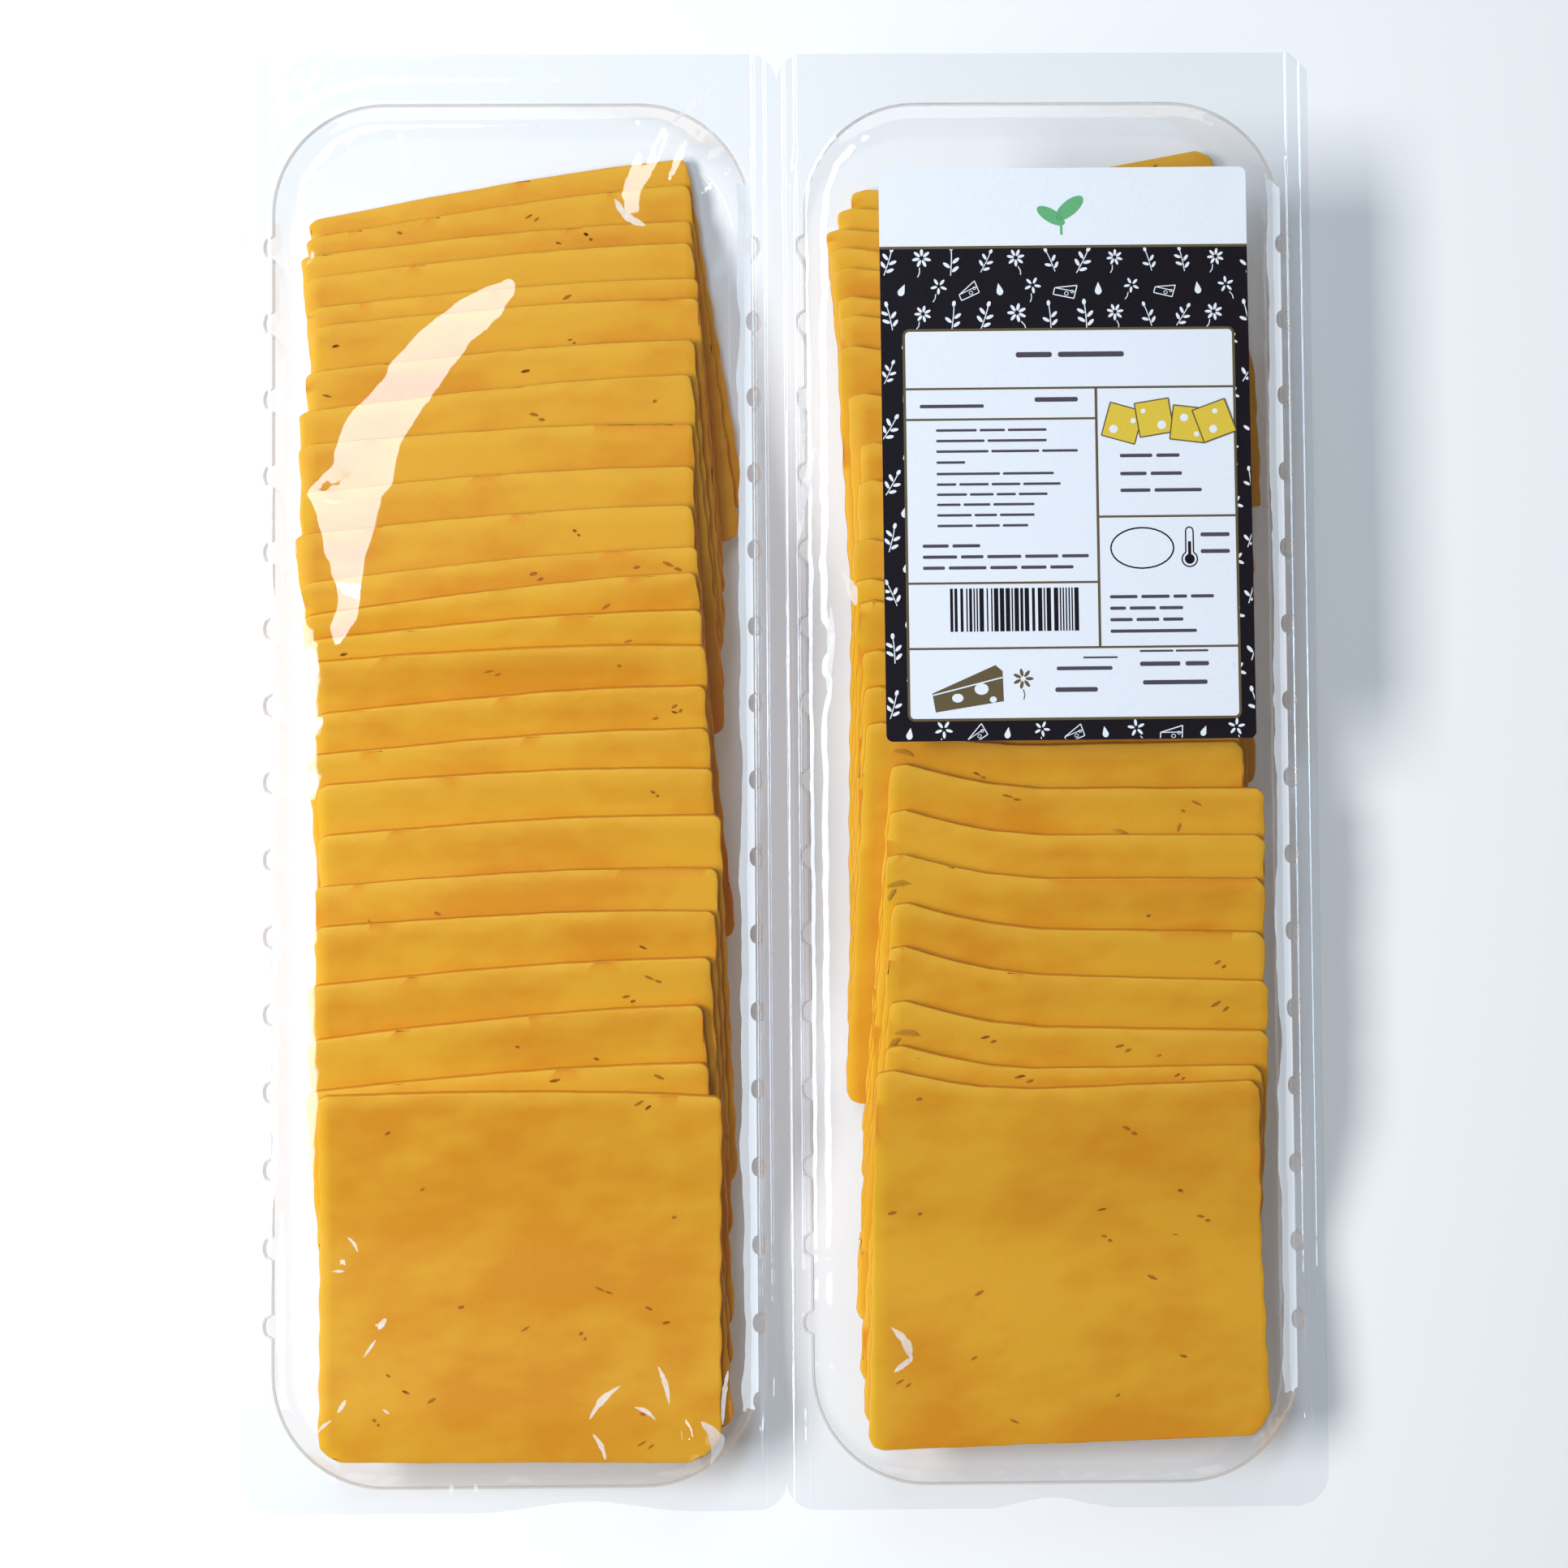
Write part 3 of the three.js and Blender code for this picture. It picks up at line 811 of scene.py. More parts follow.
filmShape = {
    "bottom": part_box("film")[0].z,
    "bulge": 0.0014,
    "sheet": 0.00012,
    "lift": 0.0003,
    "grid": (0.0016, 0.0019),  # spacing across and along
    # where the folds need a finer net: from, to and spacing
    "fineX": [(-0.1085, -0.0585, 0.0010), (-0.0385, -0.0085, 0.0009)],
    "fineY": [(0.028, 0.16, 0.0011)],
    "shoulders": {
        "outerLeft": 0.006, "innerLeft": 0.008, "innerRight": 0.007, "outerRight": 0.0055, "ends": 0.006},
    "slackShoulder": (0.014, 0.036, 0.036),  # width of the left one where slack, below which y, fade
    "slackEnd": (-0.11, 0.03),  # y and fade of its near end
    "contour": (0.0046, 0.0009, 0.00025),  # line embossed round the cavities: distance, half width, rise
    "contourZone": (0.03, 0.02),  # how near the ends it shows, and its fade
    "creases": 0.0006,
    "creaseShares": {  # by tray, side of the tray and end
        (-1, -1, 1): 0.15, (-1, 1, 1): 0.7, (-1, -1, -1): 0.5, (-1, 1, -1): 1.1,
        (1, -1, 1): 0.4, (1, 1, 1): 0.8, (1, -1, -1): 0.4, (1, 1, -1): 0.6,
    },
    "creaseZone": (0.03, 0.035),  # size of the creased corners, across and along
    "creaseFade": 0.01,
    "creaseBand": (0.003, 0.024, 0.02),  # fade at the rim, inner end and fade there
    "creaseTurns": 6.5,
    "creaseRidge": (-2, 0.3),
    "creaseDrift": 40,
    "ripples": 0.00009,
    "rippleScale": (40, 150),
    "waves": 0.0004,
    "waveScale": 14,
    "waveFade": 0.03,
    "grain": 0.00002,
    "grainScale": 260,
    "foldSlope": 0.1,
    "foldEase": (0.014, 0.045),  # how soon a fold levels out on its left and right
    "foldFade": 0.006,
    "jagged": 0.0006,
    "jaggedScale": 420,
}
filmFolds = [  # y, left edge and right edge of each slanting face in the film
    [
        (0.113, -0.0609, -0.0600), (0.1104, -0.0679, -0.0595), (0.1072, -0.0735, -0.0601),
        (0.1045, -0.0767, -0.0621), (0.0992, -0.0826, -0.0671), (0.0975, -0.0837, -0.0703),
        (0.0942, -0.0875, -0.0712), (0.0910, -0.0887, -0.0744), (0.0857, -0.0928, -0.0782),
        (0.0816, -0.0972, -0.0808), (0.0757, -0.0995, -0.0843), (0.0704, -0.1007, -0.0864),
        (0.0669, -0.1039, -0.0873), (0.0646, -0.1068, -0.0881), (0.0611, -0.1047, -0.0896),
        (0.0552, -0.1033, -0.0911), (0.0493, -0.1018, -0.0931), (0.0446, -0.1004, -0.0937),
        (0.0405, -0.0992, -0.0943), (0.0376, -0.0992, -0.0946), (0.0347, -0.1010, -0.0952),
        (0.0324, -0.1008, -0.0972), (0.0294, -0.1004, -0.0989),
    ],
    [
        (0.1581, -0.0099, -0.0092), (0.1543, -0.0150, -0.0120), (0.1495, -0.0220, -0.0156),
        (0.1448, -0.0282, -0.0218), (0.1400, -0.0321, -0.0256), (0.1353, -0.0346, -0.0292),
        (0.1305, -0.0359, -0.0306), (0.1264, -0.0352, -0.0294), (0.1249, -0.0330, -0.0288),
        (0.1237, -0.0307, -0.0280), (0.1228, -0.0292, -0.0280),
    ],
]
filmDents = [  # middle, radius and rise of small bumps that catch the light
    (-0.0971, -0.1094, 0.0012, 0.00035), (-0.0890, -0.1238, 0.0013, 0.0004),
    (-0.0385, -0.1386, 0.0017, 0.0005), (-0.0268, -0.1351, 0.001, 0.0003),
    (-0.0197, -0.1495, 0.0024, 0.0009), (0.0256, -0.1301, 0.0022, 0.0007),
    (0.0181, 0.0408, 0.0012, 0.0004), (0.0125, 0.0298, 0.0015, 0.0005), (0.0124, 0.0188, 0.0013, 0.0004),
]
dentDraws = random.Random(11)
for _ in range(16):
    filmDents.append((dentDraws.uniform(-0.105, 0.105), dentDraws.uniform(-0.15, 0.03),
                      dentDraws.uniform(0.0005, 0.0009), dentDraws.uniform(0.00008, 0.0002)))


def shoulderWidth(x, y):
    widths = filmShape["shoulders"]
    wide, below, fade = filmShape["slackShoulder"]
    near, far = y - cavityY + cavityHalfLength, cavityY + cavityHalfLength - y
    if x < 0:
        left, right = x + cavityX + cavityHalfWidth, cavityHalfWidth - cavityX - x
        end, endFade = filmShape["slackEnd"]
        slack = smooth((below - y) / fade + 0.5) * smooth((y - end) / endFade)
        outer = widths["outerLeft"] + (wide - widths["outerLeft"]) * slack
        across = [(left, outer), (right, widths["innerLeft"])]
    else:
        left, right = x - cavityX + cavityHalfWidth, cavityX + cavityHalfWidth - x
        across = [(left, widths["innerRight"]), (right, widths["outerRight"])]
    total = weights = 0
    for distance, width in across + [(near, widths["ends"]), (far, widths["ends"])]:
        weight = 1 / (max(distance, 0) + 0.002) ** 2
        total += width * weight
        weights += weight
    return total / weights


def foldRise(x, y, rows):  # a slanting face between two edges, easing back to level on both sides
    if y > rows[0][0] or y < rows[-1][0]:
        return 0
    k = next(i for i in range(len(rows) - 1) if y >= rows[i + 1][0])
    (y0, left0, right0), (y1, left1, right1) = rows[k], rows[k + 1]
    t = (y - y0) / (y1 - y0)
    left, right = left0 + (left1 - left0) * t, right0 + (right1 - right0) * t
    left += noise.noise(Vector((y * filmShape["jaggedScale"], 3, 0))) * filmShape["jagged"]
    right += noise.noise(Vector((y * filmShape["jaggedScale"], 9, 0))) * filmShape["jagged"]
    width = max(right - left, 0.0002)
    ahead, behind = rows[max(k - 2, 0)], rows[min(k + 3, len(rows) - 1)]
    slant = (ahead[1] + ahead[2] - behind[1] - behind[2]) / 2 / (ahead[0] - behind[0])
    half = filmShape["foldSlope"] * width / math.hypot(1, slant) / 2
    easeLeft, easeRight = filmShape["foldEase"]
    if x < left:
        return -half * (1 - smooth((left - x) / easeLeft))
    if x > right:
        return half * (1 - smooth((x - right) / easeRight))
    return half * (2 * (x - left) / width - 1)


def filmHeight(x, y):
    d = rimDistance(x, y)
    z = filmShape["bottom"] + filmShape["sheet"] + filmShape["lift"]
    if d <= 0:
        distance, half, rise = filmShape["contour"]
        zone, zoneFade = filmShape["contourZone"]
        corner = smooth((abs(y - cavityY) - cavityHalfLength + zone) / zoneFade)
        return z + beadRise(x) * smooth(-d / 0.001) + rise * corner * smooth(1 - abs(d + distance) / half)
    width = shoulderWidth(x, y)
    z += filmShape["bulge"] * (1 - max(1 - d / width, 0) ** 2)
    side = 1 if x > 0 else -1
    scale, grainScale = filmShape["waveScale"], filmShape["grainScale"]
    level = smooth(d / filmShape["waveFade"])
    z += noise.noise(Vector((x * scale, y * scale, side))) * filmShape["waves"] * level
    edge = smooth(d / 0.002) * smooth((width * 2 - d) / width)
    across, along = filmShape["rippleScale"]
    z += noise.noise(Vector((x * across, y * along, side * 5))) * filmShape["ripples"] * edge
    z += noise.noise(Vector((x * grainScale, y * grainScale, side * 8))) * filmShape["grain"]
    if side < 0:
        z += sum(foldRise(x, y, rows) for rows in filmFolds) * smooth(d / filmShape["foldFade"])
    for dentX, dentY, radius, rise in filmDents:
        away = ((x - dentX) ** 2 + (y - dentY) ** 2 * 0.5) / (2 * radius * radius)
        if away < 6:
            z += rise * math.exp(-away)
    return z + creaseRise(x, y, d, side)


def creaseRise(x, y, d, side):  # creases that fan out from the corners of a cavity
    zoneX, zoneY = filmShape["creaseZone"]
    cornerX = abs(x - side * cavityX) - (cavityHalfWidth - zoneX)
    cornerY = abs(y - cavityY) - (cavityHalfLength - zoneY)
    if cornerX <= 0 or cornerY <= 0:
        return 0
    rimFade, inner, innerFade = filmShape["creaseBand"]
    near = smooth(cornerX / filmShape["creaseFade"]) * smooth(cornerY / filmShape["creaseFade"])
    near = near * smooth(d / rimFade) * smooth((inner - d) / innerFade)
    turn = math.atan2(cornerY, cornerX) * filmShape["creaseTurns"]
    kink = noise.noise(Vector((turn, side * 3 + (y > 0) * 7, d * filmShape["creaseDrift"])))
    corner = (side, 1 if x > side * cavityX else -1, 1 if y > cavityY else -1)
    ridge, level = filmShape["creaseRidge"]
    return (abs(kink) * ridge + level) * filmShape["creases"] * near * filmShape["creaseShares"][corner]


def finer(low, high, step, ranges):
    places = [place for place in steps(low, high, step)
              if not any(start <= place <= stop for start, stop, _ in ranges)]
    for start, stop, fineStep in ranges:
        places += steps(start, stop, fineStep)
    return sorted(places)


def makeFilm():
    bm = flatSheet(packOutline())
    halfWidth, halfLength = packShape["halfWidth"], packShape["halfLength"]
    stepX, stepY = filmShape["grid"]
    cutLines(bm, "x", sorted(finer(-halfWidth, halfWidth, stepX, filmShape["fineX"]) + beadLines))
    cutLines(bm, "y", finer(-halfLength, halfLength, stepY, filmShape["fineY"]))
    for v in bm.verts:
        v.co.z = filmHeight(v.co.x, v.co.y)
    bmesh.ops.recalc_face_normals(bm, faces=bm.faces)
    if bm.faces[0].normal.z < 0:
        bmesh.ops.reverse_faces(bm, faces=bm.faces)
    thicken(bm, filmShape["sheet"])
    film = makePiece("film_sheet", bm, filmPlastic, "film", 60)
    film.visible_shadow = film.visible_diffuse = False


# painted highlights, laid on the film as thin milky patches
glintShape = {
    "lift": 0.00008,
    "sheet": 0.00004,
    "steps": 12,
    "tip": (0.96, 0.02, 0.7),  # how the width runs out: speed, start and power
    "ragged": (0.72, 1.2),
    "milk": 0.62,
    "cloudScale": 700,
    "clouds": 0.3,
    "milkColour": (0.88, 0.86, 0.85, 1),
}
filmPaintedGlints = [  # middle, length, width, turn and bow of painted highlights: milky white patches that stand in for glints of light on wrinkles in the film
    (-0.0178, -0.1492, 0.0098, 0.0032, -78, 0.25), (-0.0403, -0.1400, 0.0100, 0.0014, 47, 0.08),
    (-0.0272, -0.1363, 0.0086, 0.0012, -74, 0.05), (-0.0314, -0.1425, 0.0054, 0.0009, -31, 0.1),
    (-0.0416, -0.1498, 0.0062, 0.0011, -64, 0.08), (-0.0897, -0.1222, 0.0029, 0.0014, 55, 0),
    (-0.0925, -0.1277, 0.0048, 0.0006, 55, 0), (-0.0987, -0.1404, 0.0033, 0.0010, 58, 0),
    (-0.1027, -0.1450, 0.0046, 0.0007, 42, 0.06), (-0.0889, -0.1416, 0.0018, 0.0005, -35, 0),
    (-0.0963, -0.1046, 0.0040, 0.0007, -55, 0.1), (-0.0994, -0.1105, 0.0026, 0.0006, 0, 0),
    (0.0258, -0.1278, 0.0088, 0.0019, -60, 0.12), (0.0262, -0.1322, 0.0052, 0.0014, 37, 0),
    (0.0050, 0.0820, 0.0160, 0.0015, -86, 0.03), (0.0062, 0.0636, 0.0212, 0.0019, 80, 0.02),
    (0.0109, 0.0281, 0.0188, 0.0018, 87, -0.02), (0.0156, 0.0417, 0.0082, 0.0022, -70, 0.05),
    (-0.1005, -0.1570, 0.0020, 0.0008, 80, 0), (-0.0745, -0.1590, 0.0026, 0.0010, 84, 0),
    (-0.0690, -0.1588, 0.0022, 0.0010, -75, 0), (-0.0135, -0.1392, 0.0120, 0.0012, 84, 0.03),
    (-0.0172, 0.1534, 0.0160, 0.0019, 39, 0.05), (-0.0334, 0.1276, 0.0092, 0.0019, -42, -0.12),
    (-0.0148, 0.1458, 0.0072, 0.0006, -55, 0.03), (-0.0847, 0.1412, 0.0130, 0.0026, -80, 0.03),
]


# painted highlights: thin milky patches where light would glint on the film's wrinkles
def makePaintedGlints():
    r = Recipe("paintedGlintPlastic")
    clear = r.node("ShaderNodeBsdfTransparent", {}, {"Color": filmLook["tint"]})["BSDF"]
    milk = r.node("ShaderNodeBsdfDiffuse", {}, {"Color": glintShape["milkColour"]})["BSDF"]
    cloud = (r.noise(glintShape["cloudScale"], 1) - 0.5) * glintShape["clouds"] + glintShape["milk"]
    material = r.finish(r.node("ShaderNodeMixShader", {}, [cloud, clear, milk])["Shader"])
    draws = random.Random(21)
    speed, begin, power = glintShape["tip"]
    bm = bmesh.new()
    for x, y, length, width, degrees, bow in filmPaintedGlints:
        sides = ([], [])
        for i in range(glintShape["steps"] + 1):
            t = i / glintShape["steps"]
            tip = math.sin(math.pi * (t * speed + begin)) ** power
            half = width / 2 * tip * draws.uniform(*glintShape["ragged"])
            middle = math.sin(math.pi * t) * length * bow
            for across, points in zip((middle + half, middle - half), sides):
                px, py = turnedPoint(x, y, (t - 0.5) * length, across, degrees)
                points.append(bm.verts.new((px, py, filmHeight(px, py) + glintShape["lift"])))
        ribbon(bm, *sides)
    thicken(bm, glintShape["sheet"])
    glints = makePiece("film_painted_glints", bm, material, None, 60)
    glints.visible_shadow = glints.visible_diffuse = False


makeFilm()
makePaintedGlints()
print("film made")


# Label

labelShape = {
    "width": 0.0834,
    "length": 0.1303,
    "x": 0.065,
    "y": 0.0723,
    "turn": 0.3,  # degrees
    "corner": 0.0015,
    "grid": 0.004,
    "paper": 0.00012,
    "gap": 0.00008,
}


def onLabel(u, v, lift):  # u across from the left edge, v down from the top, to the pack's frame
    across, along = u - labelShape["width"] / 2, labelShape["length"] / 2 - v
    x, y = turnedPoint(labelShape["x"], labelShape["y"], across, along, labelShape["turn"])
    return Vector((x, y, filmHeight(x, y) + labelShape["gap"] + labelShape["paper"] + lift))


def layOnLabel(bm, thickness, lift):  # lays a flat drawing on the film and gives it its thickness
    cutNet(bm, labelShape["grid"])
    for v in bm.verts:
        v.co = onLabel(v.co.x, v.co.y, lift)
    bm.normal_update()
    bmesh.ops.reverse_faces(bm, faces=[f for f in bm.faces if f.normal.z < 0])
    thicken(bm, thickness)


def flatPiece(name, outlines, material, thickness, lift, node=None, trim=None):
    bm = bmesh.new()
    for outline in outlines:
        bm.faces.new([bm.verts.new((u, v, 0)) for u, v in outline])
    if trim:
        (left, top), (right, bottom) = trim
        for place, normal in (((left, 0, 0), (-1, 0, 0)), ((right, 0, 0), (1, 0, 0)),
                              ((0, top, 0), (0, -1, 0)), ((0, bottom, 0), (0, 1, 0))):
            everything = bm.verts[:] + bm.edges[:] + bm.faces[:]
            bmesh.ops.bisect_plane(bm, geom=everything, plane_co=place, plane_no=normal, clear_outer=True)
    layOnLabel(bm, thickness, lift)
    makePiece(name, bm, material, node, 60)


def roundBox(left, top, right, bottom, radius, turns=5):
    return (arc(right - radius, bottom - radius, radius, 0, 90, turns)
            + arc(left + radius, bottom - radius, radius, 90, 180, turns)
            + arc(left + radius, top + radius, radius, 180, 270, turns)
            + arc(right - radius, top + radius, radius, 270, 360, turns))


def box(left, top, right, bottom):
    return [(left, top), (right, top), (right, bottom), (left, bottom)]


def stroke(points, width, closed=False):  # four-sided pieces of line along a path
    pieces = []
    ends = points[1:] + points[:1] if closed else points[1:]
    for (ax, ay), (bx, by) in zip(points, ends):
        length = math.hypot(bx - ax, by - ay) or 1e-6
        nx, ny = -(by - ay) / length * width / 2, (bx - ax) / length * width / 2
        pieces.append([(ax + nx, ay + ny), (bx + nx, by + ny), (bx - nx, by - ny), (ax - nx, ay - ny)])
    return pieces


def turned(outlines, u, v, degrees=0, size=1):
    c, s = math.cos(math.radians(degrees)) * size, math.sin(math.radians(degrees)) * size
    return [[(u + px * c - py * s, v + px * s + py * c) for px, py in outline] for outline in outlines]


def ellipse(u, v, halfU, halfV, degrees=0, sides=14):
    angles = [math.tau * i / sides for i in range(sides)]
    return turned([[(halfU * math.cos(a), halfV * math.sin(a)) for a in angles]], u, v, degrees)[0]


inkColours = {
    "black": (0.009, 0.006, 0.010, 1),
    "brown": (0.125, 0.092, 0.045, 1),
    "grey": (0.075, 0.065, 0.085, 1),
    "yellow": (0.72, 0.52, 0.055, 1),
    "green": (0.13, 0.42, 0.19, 1),
    "white": (0.78, 0.81, 0.87, 1),
}
inks = {name: inkMaterial(name + "Ink", colour) for name, colour in inkColours.items()}
printShape = {  # millimetres from the label's top left corner
    "whiteBand": 17.8,
    "rule": 0.6,
    "panel": (5.2, 37.0, 79.9, 125.5),
    "panelCorner": 1.25,
    "columnLine": 48.5,
    "rowLines": [  # v, from and to
        (50.4, 5.2, 79.9), (57.4, 5.2, 48.5), (94.6, 5.2, 48.5), (79.8, 48.5, 79.9), (109.4, 5.2, 79.9)],
    "columnEnds": (50.4, 109.4),
    "barcode": (14.8, 43.6, 95.8, 105.6),  # left, right, top and bottom
    "barWidths": (0.33, 0.33, 0.66, 0.99),
    "barGaps": (0.33, 0.33, 0.66),
    "motifPitch": (7.4, 6.3),  # across and down
    "motifStart": (1.5, 21.5),
    "motifShift": 3.7,  # of every other row
    "inkSheet": 0.00001,
    "layer": 0.00002,
}
printedLines = [  # u, v, length, height and count of words of each line of stand-in bars
    (30.5, 41.6, 24.5, 2.3, 2), (8.6, 53.6, 14.5, 1.5, 1), (34.6, 52.0, 9.8, 2.0, 1),
    (12.2, 59.3, 25, 1.1, 3), (12.2, 61.7, 25, 1.1, 2), (12.2, 64.1, 32, 1.1, 3), (12.2, 66.6, 6.5, 1.1, 1),
    (12.2, 69.2, 26.5, 1.1, 2), (12.2, 71.6, 28, 1.1, 4), (12.2, 73.9, 25, 1.1, 4), (12.2, 76.2, 22, 1.1, 3),
    (12.2, 78.6, 22, 1.1, 3), (12.2, 81.0, 20.5, 1.1, 3),
    (8.8, 85.4, 13, 1.4, 2), (8.8, 87.9, 37.5, 1.4, 5), (8.8, 90.4, 34, 1.4, 5),
    (53.7, 65.2, 13.5, 1.5, 2), (53.7, 69.3, 14, 1.5, 2), (53.7, 73.1, 18.4, 1.5, 2),
    (71.6, 83.2, 6.6, 1.7, 1), (71.6, 87.0, 6.6, 1.7, 1),
    (50.9, 97.3, 23.5, 1.4, 4), (50.9, 99.9, 16.5, 1.4, 3), (50.9, 102.5, 16.5, 1.4, 3),
    (50.9, 105.1, 19.5, 1.4, 1),
    (44.6, 111.3, 7.8, 0.8, 1), (38.6, 113.3, 12.6, 1.6, 1), (38.2, 117.9, 9.6, 2.0, 1),
    (57.4, 109.9, 15.5, 0.9, 2), (57.4, 112.3, 15.6, 1.9, 2), (58.0, 116.5, 14.6, 1.9, 1),
]


def inMetres(outlines):
    return [[(u * 0.001, v * 0.001) for u, v in outline] for outline in outlines]


def printInk(name, ink, outlines, layer, trim=None):
    lift = printShape["layer"] * layer
    limits = trim and [(trim[0] * 0.001, trim[1] * 0.001), (trim[2] * 0.001, trim[3] * 0.001)]
    shapes = inMetres(outlines)
    flatPiece("label_" + name, shapes, inks[ink], printShape["inkSheet"], lift, None, limits)


def wordBars(draws):  # plain bars in place of words
    bars = []
    for u, v, length, height, words in printedLines:
        space = height * 0.6
        shares = [draws.uniform(0.6, 1.4) for _ in range(words)]
        room = length - space * (words - 1)
        for share in shares:
            wide = room * share / sum(shares)
            bars.append(roundBox(u, v + height * 0.25, u + wide, v + height * 0.78, height * 0.2, 2))
            u += wide + space
    return bars


def barcode(draws):
    u, end, top, bottom = printShape["barcode"]
    bars = []
    while u < end:
        wide = draws.choice(printShape["barWidths"])
        bars.append(box(u, top, u + wide, bottom))
        u += wide + draws.choice(printShape["barGaps"])
    return bars


def sprig(leaves):
    stem = [(0.5 * math.sin(t * 1.6), 3.4 - 6.6 * t) for t in [i / 6 for i in range(7)]]
    shapes = stroke(stem, 0.26)
    for i in range(leaves):
        side = -1 if i % 2 else 1
        x, y = stem[1 + i]
        shapes.append(ellipse(x + side * 1.15, y - 0.5, 1.1, 0.46, side * -38, 10))
    return shapes + [ellipse(stem[-1][0], stem[-1][1] - 0.5, 0.5, 0.8, 8, 10)]


def flower(petals):
    shapes = [ellipse(1.5 * math.cos(a), 1.5 * math.sin(a) - 1.2, 1.0, 0.42, math.degrees(a), 9)
              for a in [math.tau * i / petals for i in range(petals)]]
    return shapes + stroke([(0, 1.3), (0.35, 2.6), (0.1, 3.8)], 0.26)


def wedge():
    rim = [(-3, 0.6), (2.8, -1.9), (3, 1.9), (-2.9, 2.5)]
    rings = stroke(ellipse(0.6, 1.2, 0.55, 0.5), 0.2, True) + stroke(ellipse(2.0, 0.2, 0.4, 0.4), 0.2, True)
    return stroke(rim, 0.3, True) + stroke([(-3, 0.6), (3, -0.1)], 0.25) + rings


def drop():
    right = [(0.7, -0.2), (0.95, 0.7), (0.6, 1.4)]
    return [[(0, -1.8), *right, (0, 1.65), *[(-x, y) for x, y in reversed(right)]]]


def motifs(draws):
    kinds = [sprig(4), wedge(), flower(7), drop(), sprig(3), flower(5)]
    pitchU, pitchV = printShape["motifPitch"]
    startU, v = printShape["motifStart"]
    shapes, row = [], 0
    while v < 131:
        u = startU + (row % 2) * printShape["motifShift"]
        column = 0
        while u < 84:
            if v < 36 or u < 6.5 or u > 78 or v > 123:  # outside the white panel
                kind = kinds[(column * 2 + row * 3) % len(kinds)]
                shift, degrees = draws.uniform(-0.4, 0.4), draws.uniform(-28, 28)
                shapes += turned(kind, u + shift, v, degrees, draws.uniform(0.72, 0.9))
            u += pitchU
            column += 1
        v += pitchV
        row += 1
    return shapes


def cheeseSquares():
    yellow, lines, holes = [], [], []
    for u, v, degrees, spots in ((54.4, 58.6, 16, ((-1.6, 1.8, 0.95), (2.2, -1.2, 0.6))),
                                 (61.6, 57.4, -9, ((1.4, 1.9, 1.0), (-2.2, -1.9, 0.55))),
                                 (69.4, 58.9, 7, ((-1.2, -1.3, 0.9), (2.0, 2.1, 0.6))),
                                 (75.2, 58.2, -20, ((0.9, -2.0, 0.6), (-0.9, 1.7, 0.9)))):
        square = turned([box(-3.9, -3.9, 3.9, 3.9)], u, v, degrees)
        yellow.append(square[0])
        lines.append(stroke(square[0], 0.28, True))
        holes.append(turned([ellipse(x, y, r, r) for x, y, r in spots], u, v, degrees))
    return yellow, lines, holes


def thermometer():
    body = arc(69.1, 89.6, 1.75, -60, 240, 12) + arc(69.1, 83.2, 0.85, 180, 360, 6)
    return stroke(body, 0.32, True) + [ellipse(69.1, 89.6, 1.15, 1.15), box(68.75, 85.6, 69.45, 89.2)]


def makeLabel():
    width, length = labelShape["width"] * 1000, labelShape["length"] * 1000
    corner, rule = labelShape["corner"] * 1000, printShape["rule"]
    left, top, right, bottom = printShape["panel"]
    band, column = printShape["whiteBand"], printShape["columnLine"]
    whole = roundBox(0, 0, width, length, corner)
    flatPiece("label_sheet", inMetres([whole]), paper, labelShape["paper"], 0, "label")
    field = roundBox(0, band - 5, width, length, corner)
    printInk("black_field", "black", [field], 1, (0, band, width, length))
    draws = random.Random(5)
    printInk("motifs", "white", motifs(draws), 2, (0.25, band + rule + 0.1, width - 0.25, length - 0.25))
    printInk("panel", "white", [roundBox(left, top, right, bottom, printShape["panelCorner"])], 3)
    lines = stroke(roundBox(left, top, right, bottom, printShape["panelCorner"]), rule, True)
    lines += stroke([(0, band + rule / 2), (width, band + rule / 2)], rule)
    lines += stroke([(column, end) for end in printShape["columnEnds"]], rule)
    for v, start, stop in printShape["rowLines"]:
        lines += stroke([(start, v), (stop, v)], rule * 0.85)
    printInk("rules", "brown", lines, 4)
    printInk("word_bars", "grey", wordBars(draws), 4)
    marks = barcode(draws) + thermometer() + stroke(ellipse(58.4, 87, 7.1, 4.6, 0, 28), 0.36, True)
    printInk("marks", "black", marks, 4)
    for i, (square, outline, holes) in enumerate(zip(*cheeseSquares())):
        printInk("square_%d" % (i + 1), "yellow", [square], 4 + i * 3)
        printInk("square_line_%d" % (i + 1), "brown", outline, 5 + i * 3)
        printInk("square_holes_%d" % (i + 1), "white", holes, 5 + i * 3)
    leaf = [ellipse(-2.1, 0.4, 3.6, 1.5, 38, 20), ellipse(2.3, -0.9, 3.9, 1.7, -34, 20)]
    printInk("leaves", "green", turned(leaf, 41, 10.4, -6, 1.0) + stroke([(41.3, 15.4), (41.1, 9.4)], 0.5), 4)
    picture = [[(10.5, 119.5), (24.8, 113.2), (26.4, 114.6), (26.6, 121.4), (11.2, 123.8)]]
    printInk("wedge", "brown", picture + turned(flower(7), 31, 117.5, 0, 0.95), 4)
    rounds = [ellipse(16.2, 120.6, 1.3, 1.0), ellipse(21.6, 118.6, 1.6, 1.3), ellipse(24.2, 121.0, 0.8, 0.7)]
    printInk("wedge_holes", "white", rounds + stroke([(10.7, 119.9), (26.4, 116.0)], 0.3), 5)


makeLabel()
print("label made")


# Floor, lights and camera

floorLook = {
    "halfSize": 1.5,
    "below": 0.0002,  # so that it never touches the tray
    "colour": grey(0.93),
    "roughness": 0.9,
    "glow": 0.06,
}


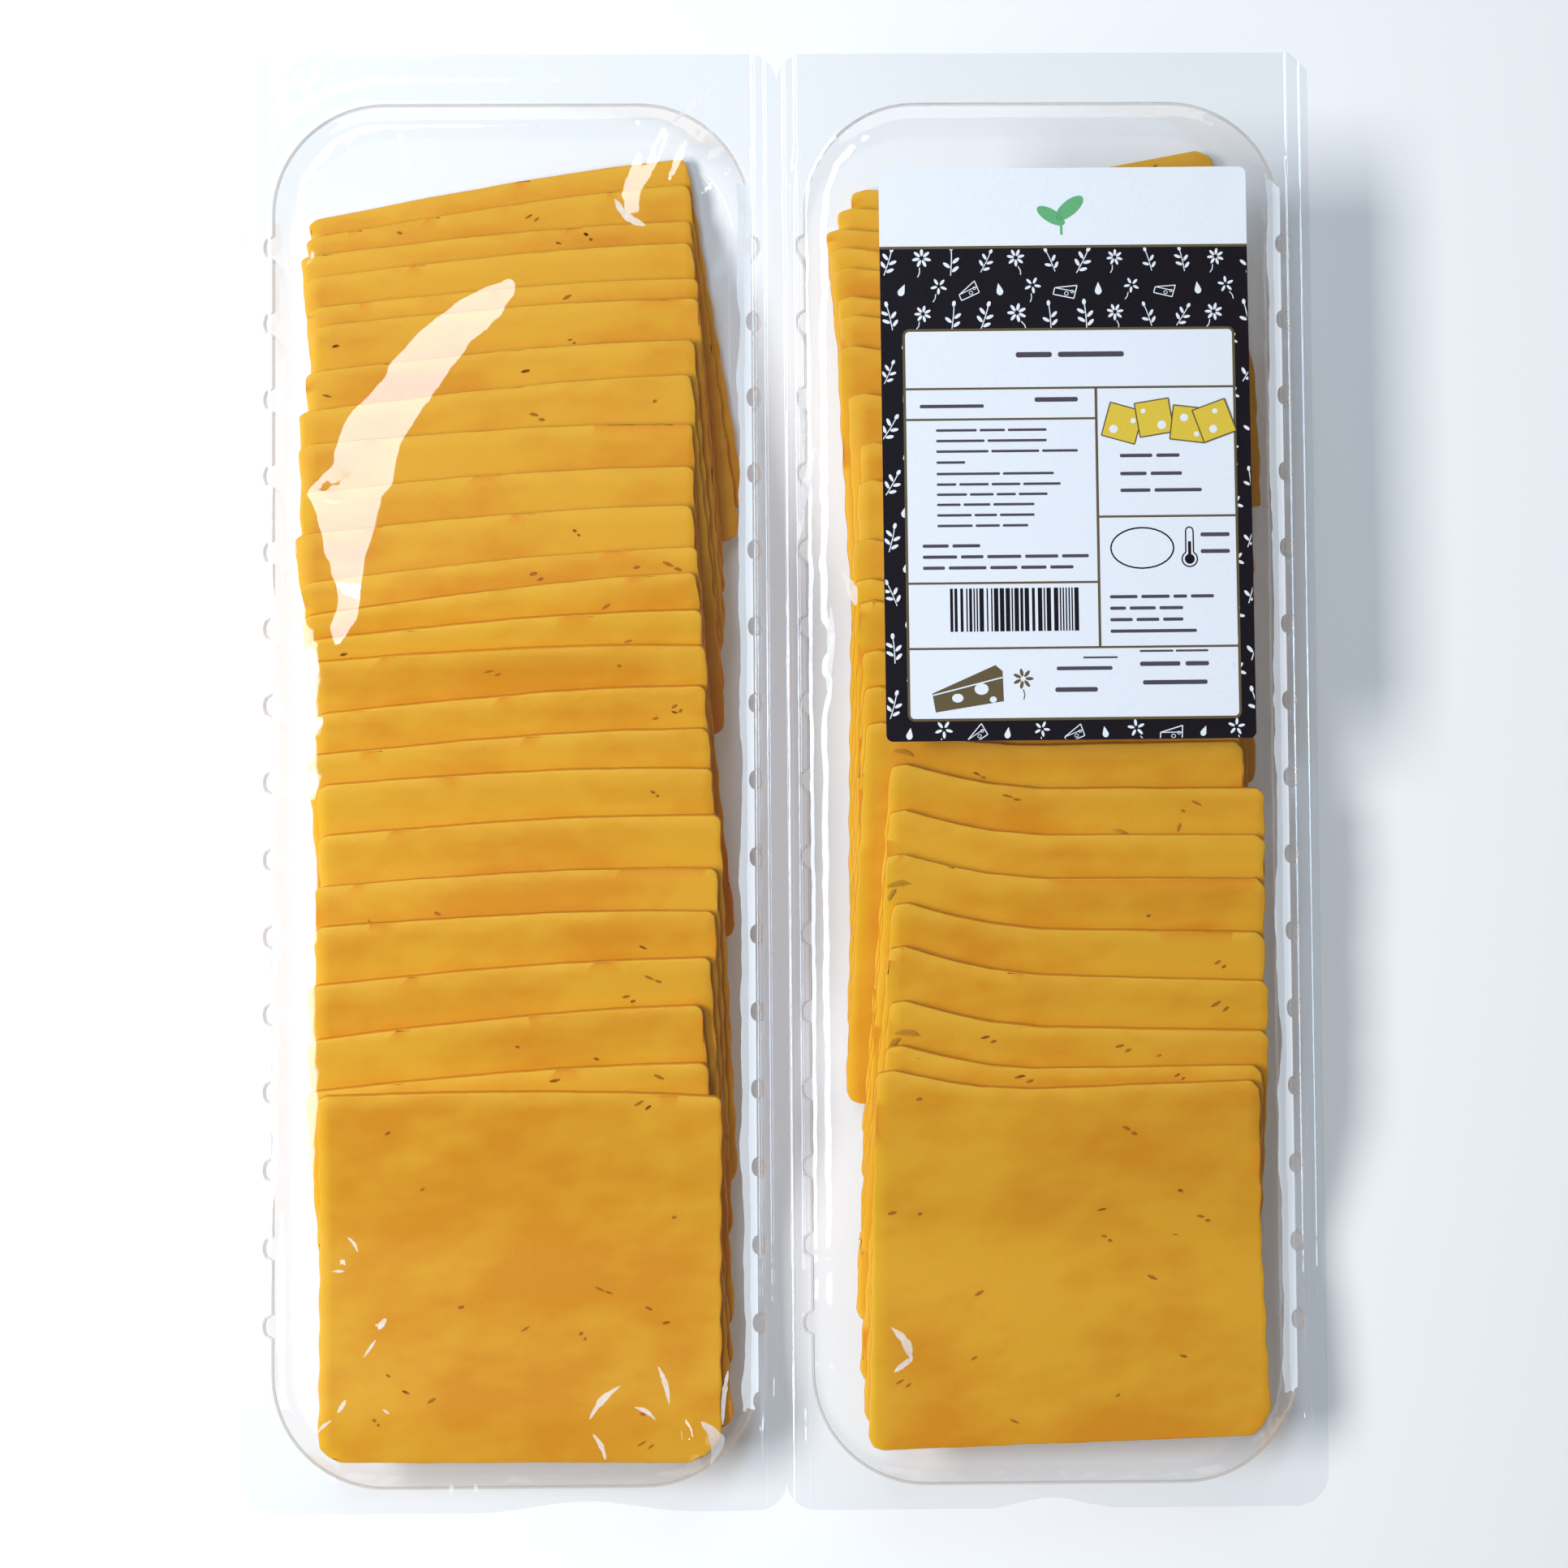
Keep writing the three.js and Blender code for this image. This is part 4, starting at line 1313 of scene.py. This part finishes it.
def makeFloor():
    bm = bmesh.new()
    bmesh.ops.create_grid(bm, x_segments=8, y_segments=8, size=floorLook["halfSize"])
    mesh = bpy.data.meshes.new("floor")
    bm.to_mesh(mesh)
    bm.free()
    floor = bpy.data.objects.new("floor", mesh)
    floor.location.z = -floorLook["below"]
    bpy.context.scene.collection.objects.link(floor)
    r = Recipe("floorPaint")
    shader = r.node("ShaderNodeBsdfPrincipled", {}, {
        "Base Color": floorLook["colour"], "Roughness": floorLook["roughness"], "Specular IOR Level": 0,
        "Emission Color": grey(1), "Emission Strength": floorLook["glow"]})
    mesh.materials.append(r.finish(shader["BSDF"]))


windowLight = (0.6, 0.8, 1)
white = (1, 1, 1)
lamps = {  # place, target, width, height, power, lean in degrees and colour
    "key": ((-0.8, -0.05, 0.8), (0, 0, 0), 0.26, 0.6, 11.4, 0, (1, 0.99, 0.985)),
    "softbox": ((-0.318, 0.36, 1.1), (-0.1, 0.1, 0), 0.17, 0.6, 3.2, 28, windowLight),
    "softboxLow": ((-0.42, 0.0, 1.1), (-0.1, 0, 0), 0.15, 0.3, 1.5, 0, windowLight),
    "rightStrip": ((0.65, -0.1, 0.95), (0, 0, 0), 0.1, 0.9, 0.35, 0, white),
    "nearFill": ((0, -0.9, 0.8), (0, 0, 0), 0.9, 0.4, 1.2, 0, white),
    "farFill": ((0, 0.9, 0.8), (0, 0, 0), 0.9, 0.4, 1.8, 0, white),
}


def areaLight(name, place, target, width, height, power, lean, colour):
    data = bpy.data.lights.new(name, "AREA")
    data.shape = "RECTANGLE"
    data.size, data.size_y = width, height  # its height lies along y, or leans clockwise from it
    data.energy = power
    data.color = colour
    lamp = bpy.data.objects.new(name, data)
    lamp.location = place
    back = (Vector(place) - Vector(target)).normalized()
    upright = Vector((math.sin(math.radians(lean)), math.cos(math.radians(lean)), 0))
    side = upright.cross(back).normalized()
    lamp.rotation_euler = Matrix((side, back.cross(side), back)).transposed().to_euler()
    bpy.context.scene.collection.objects.link(lamp)


cameraView = {
    "tilt": (4.157, -1.149, -0.424),  # degrees
    "middle": (0.00058, -0.00226),
    "distance": 1.0486,
    "lens": 107.0,
}


def makeCamera():
    data = bpy.data.cameras.new("camera")
    data.lens = cameraView["lens"]
    data.sensor_width = 36
    data.clip_start = 0.01
    camera = bpy.data.objects.new("camera", data)
    camera.rotation_euler = [math.radians(a) for a in cameraView["tilt"]]
    away = camera.rotation_euler.to_matrix() @ Vector((0, 0, cameraView["distance"]))
    camera.location = Vector((*cameraView["middle"], flangeTop)) + away
    bpy.context.scene.collection.objects.link(camera)
    bpy.context.scene.camera = camera


worldLook = {
    "colour": (0.86, 0.93, 1, 1),
    "strength": 0.07,
}


def makeWorld():
    world = bpy.data.worlds.new("studio")
    world.use_nodes = True
    background = world.node_tree.nodes["Background"]
    background.inputs["Color"].default_value = worldLook["colour"]
    background.inputs["Strength"].default_value = worldLook["strength"]
    bpy.context.scene.world = world


makeFloor()
makeCamera()
makeWorld()
for lampName, lampSettings in lamps.items():
    areaLight(lampName, *lampSettings)
cycles = bpy.context.scene.cycles
cycles.max_bounces, cycles.diffuse_bounces, cycles.glossy_bounces = 6, 2, 1
bpy.context.scene.view_settings.view_transform = "Standard"
print("stage made")
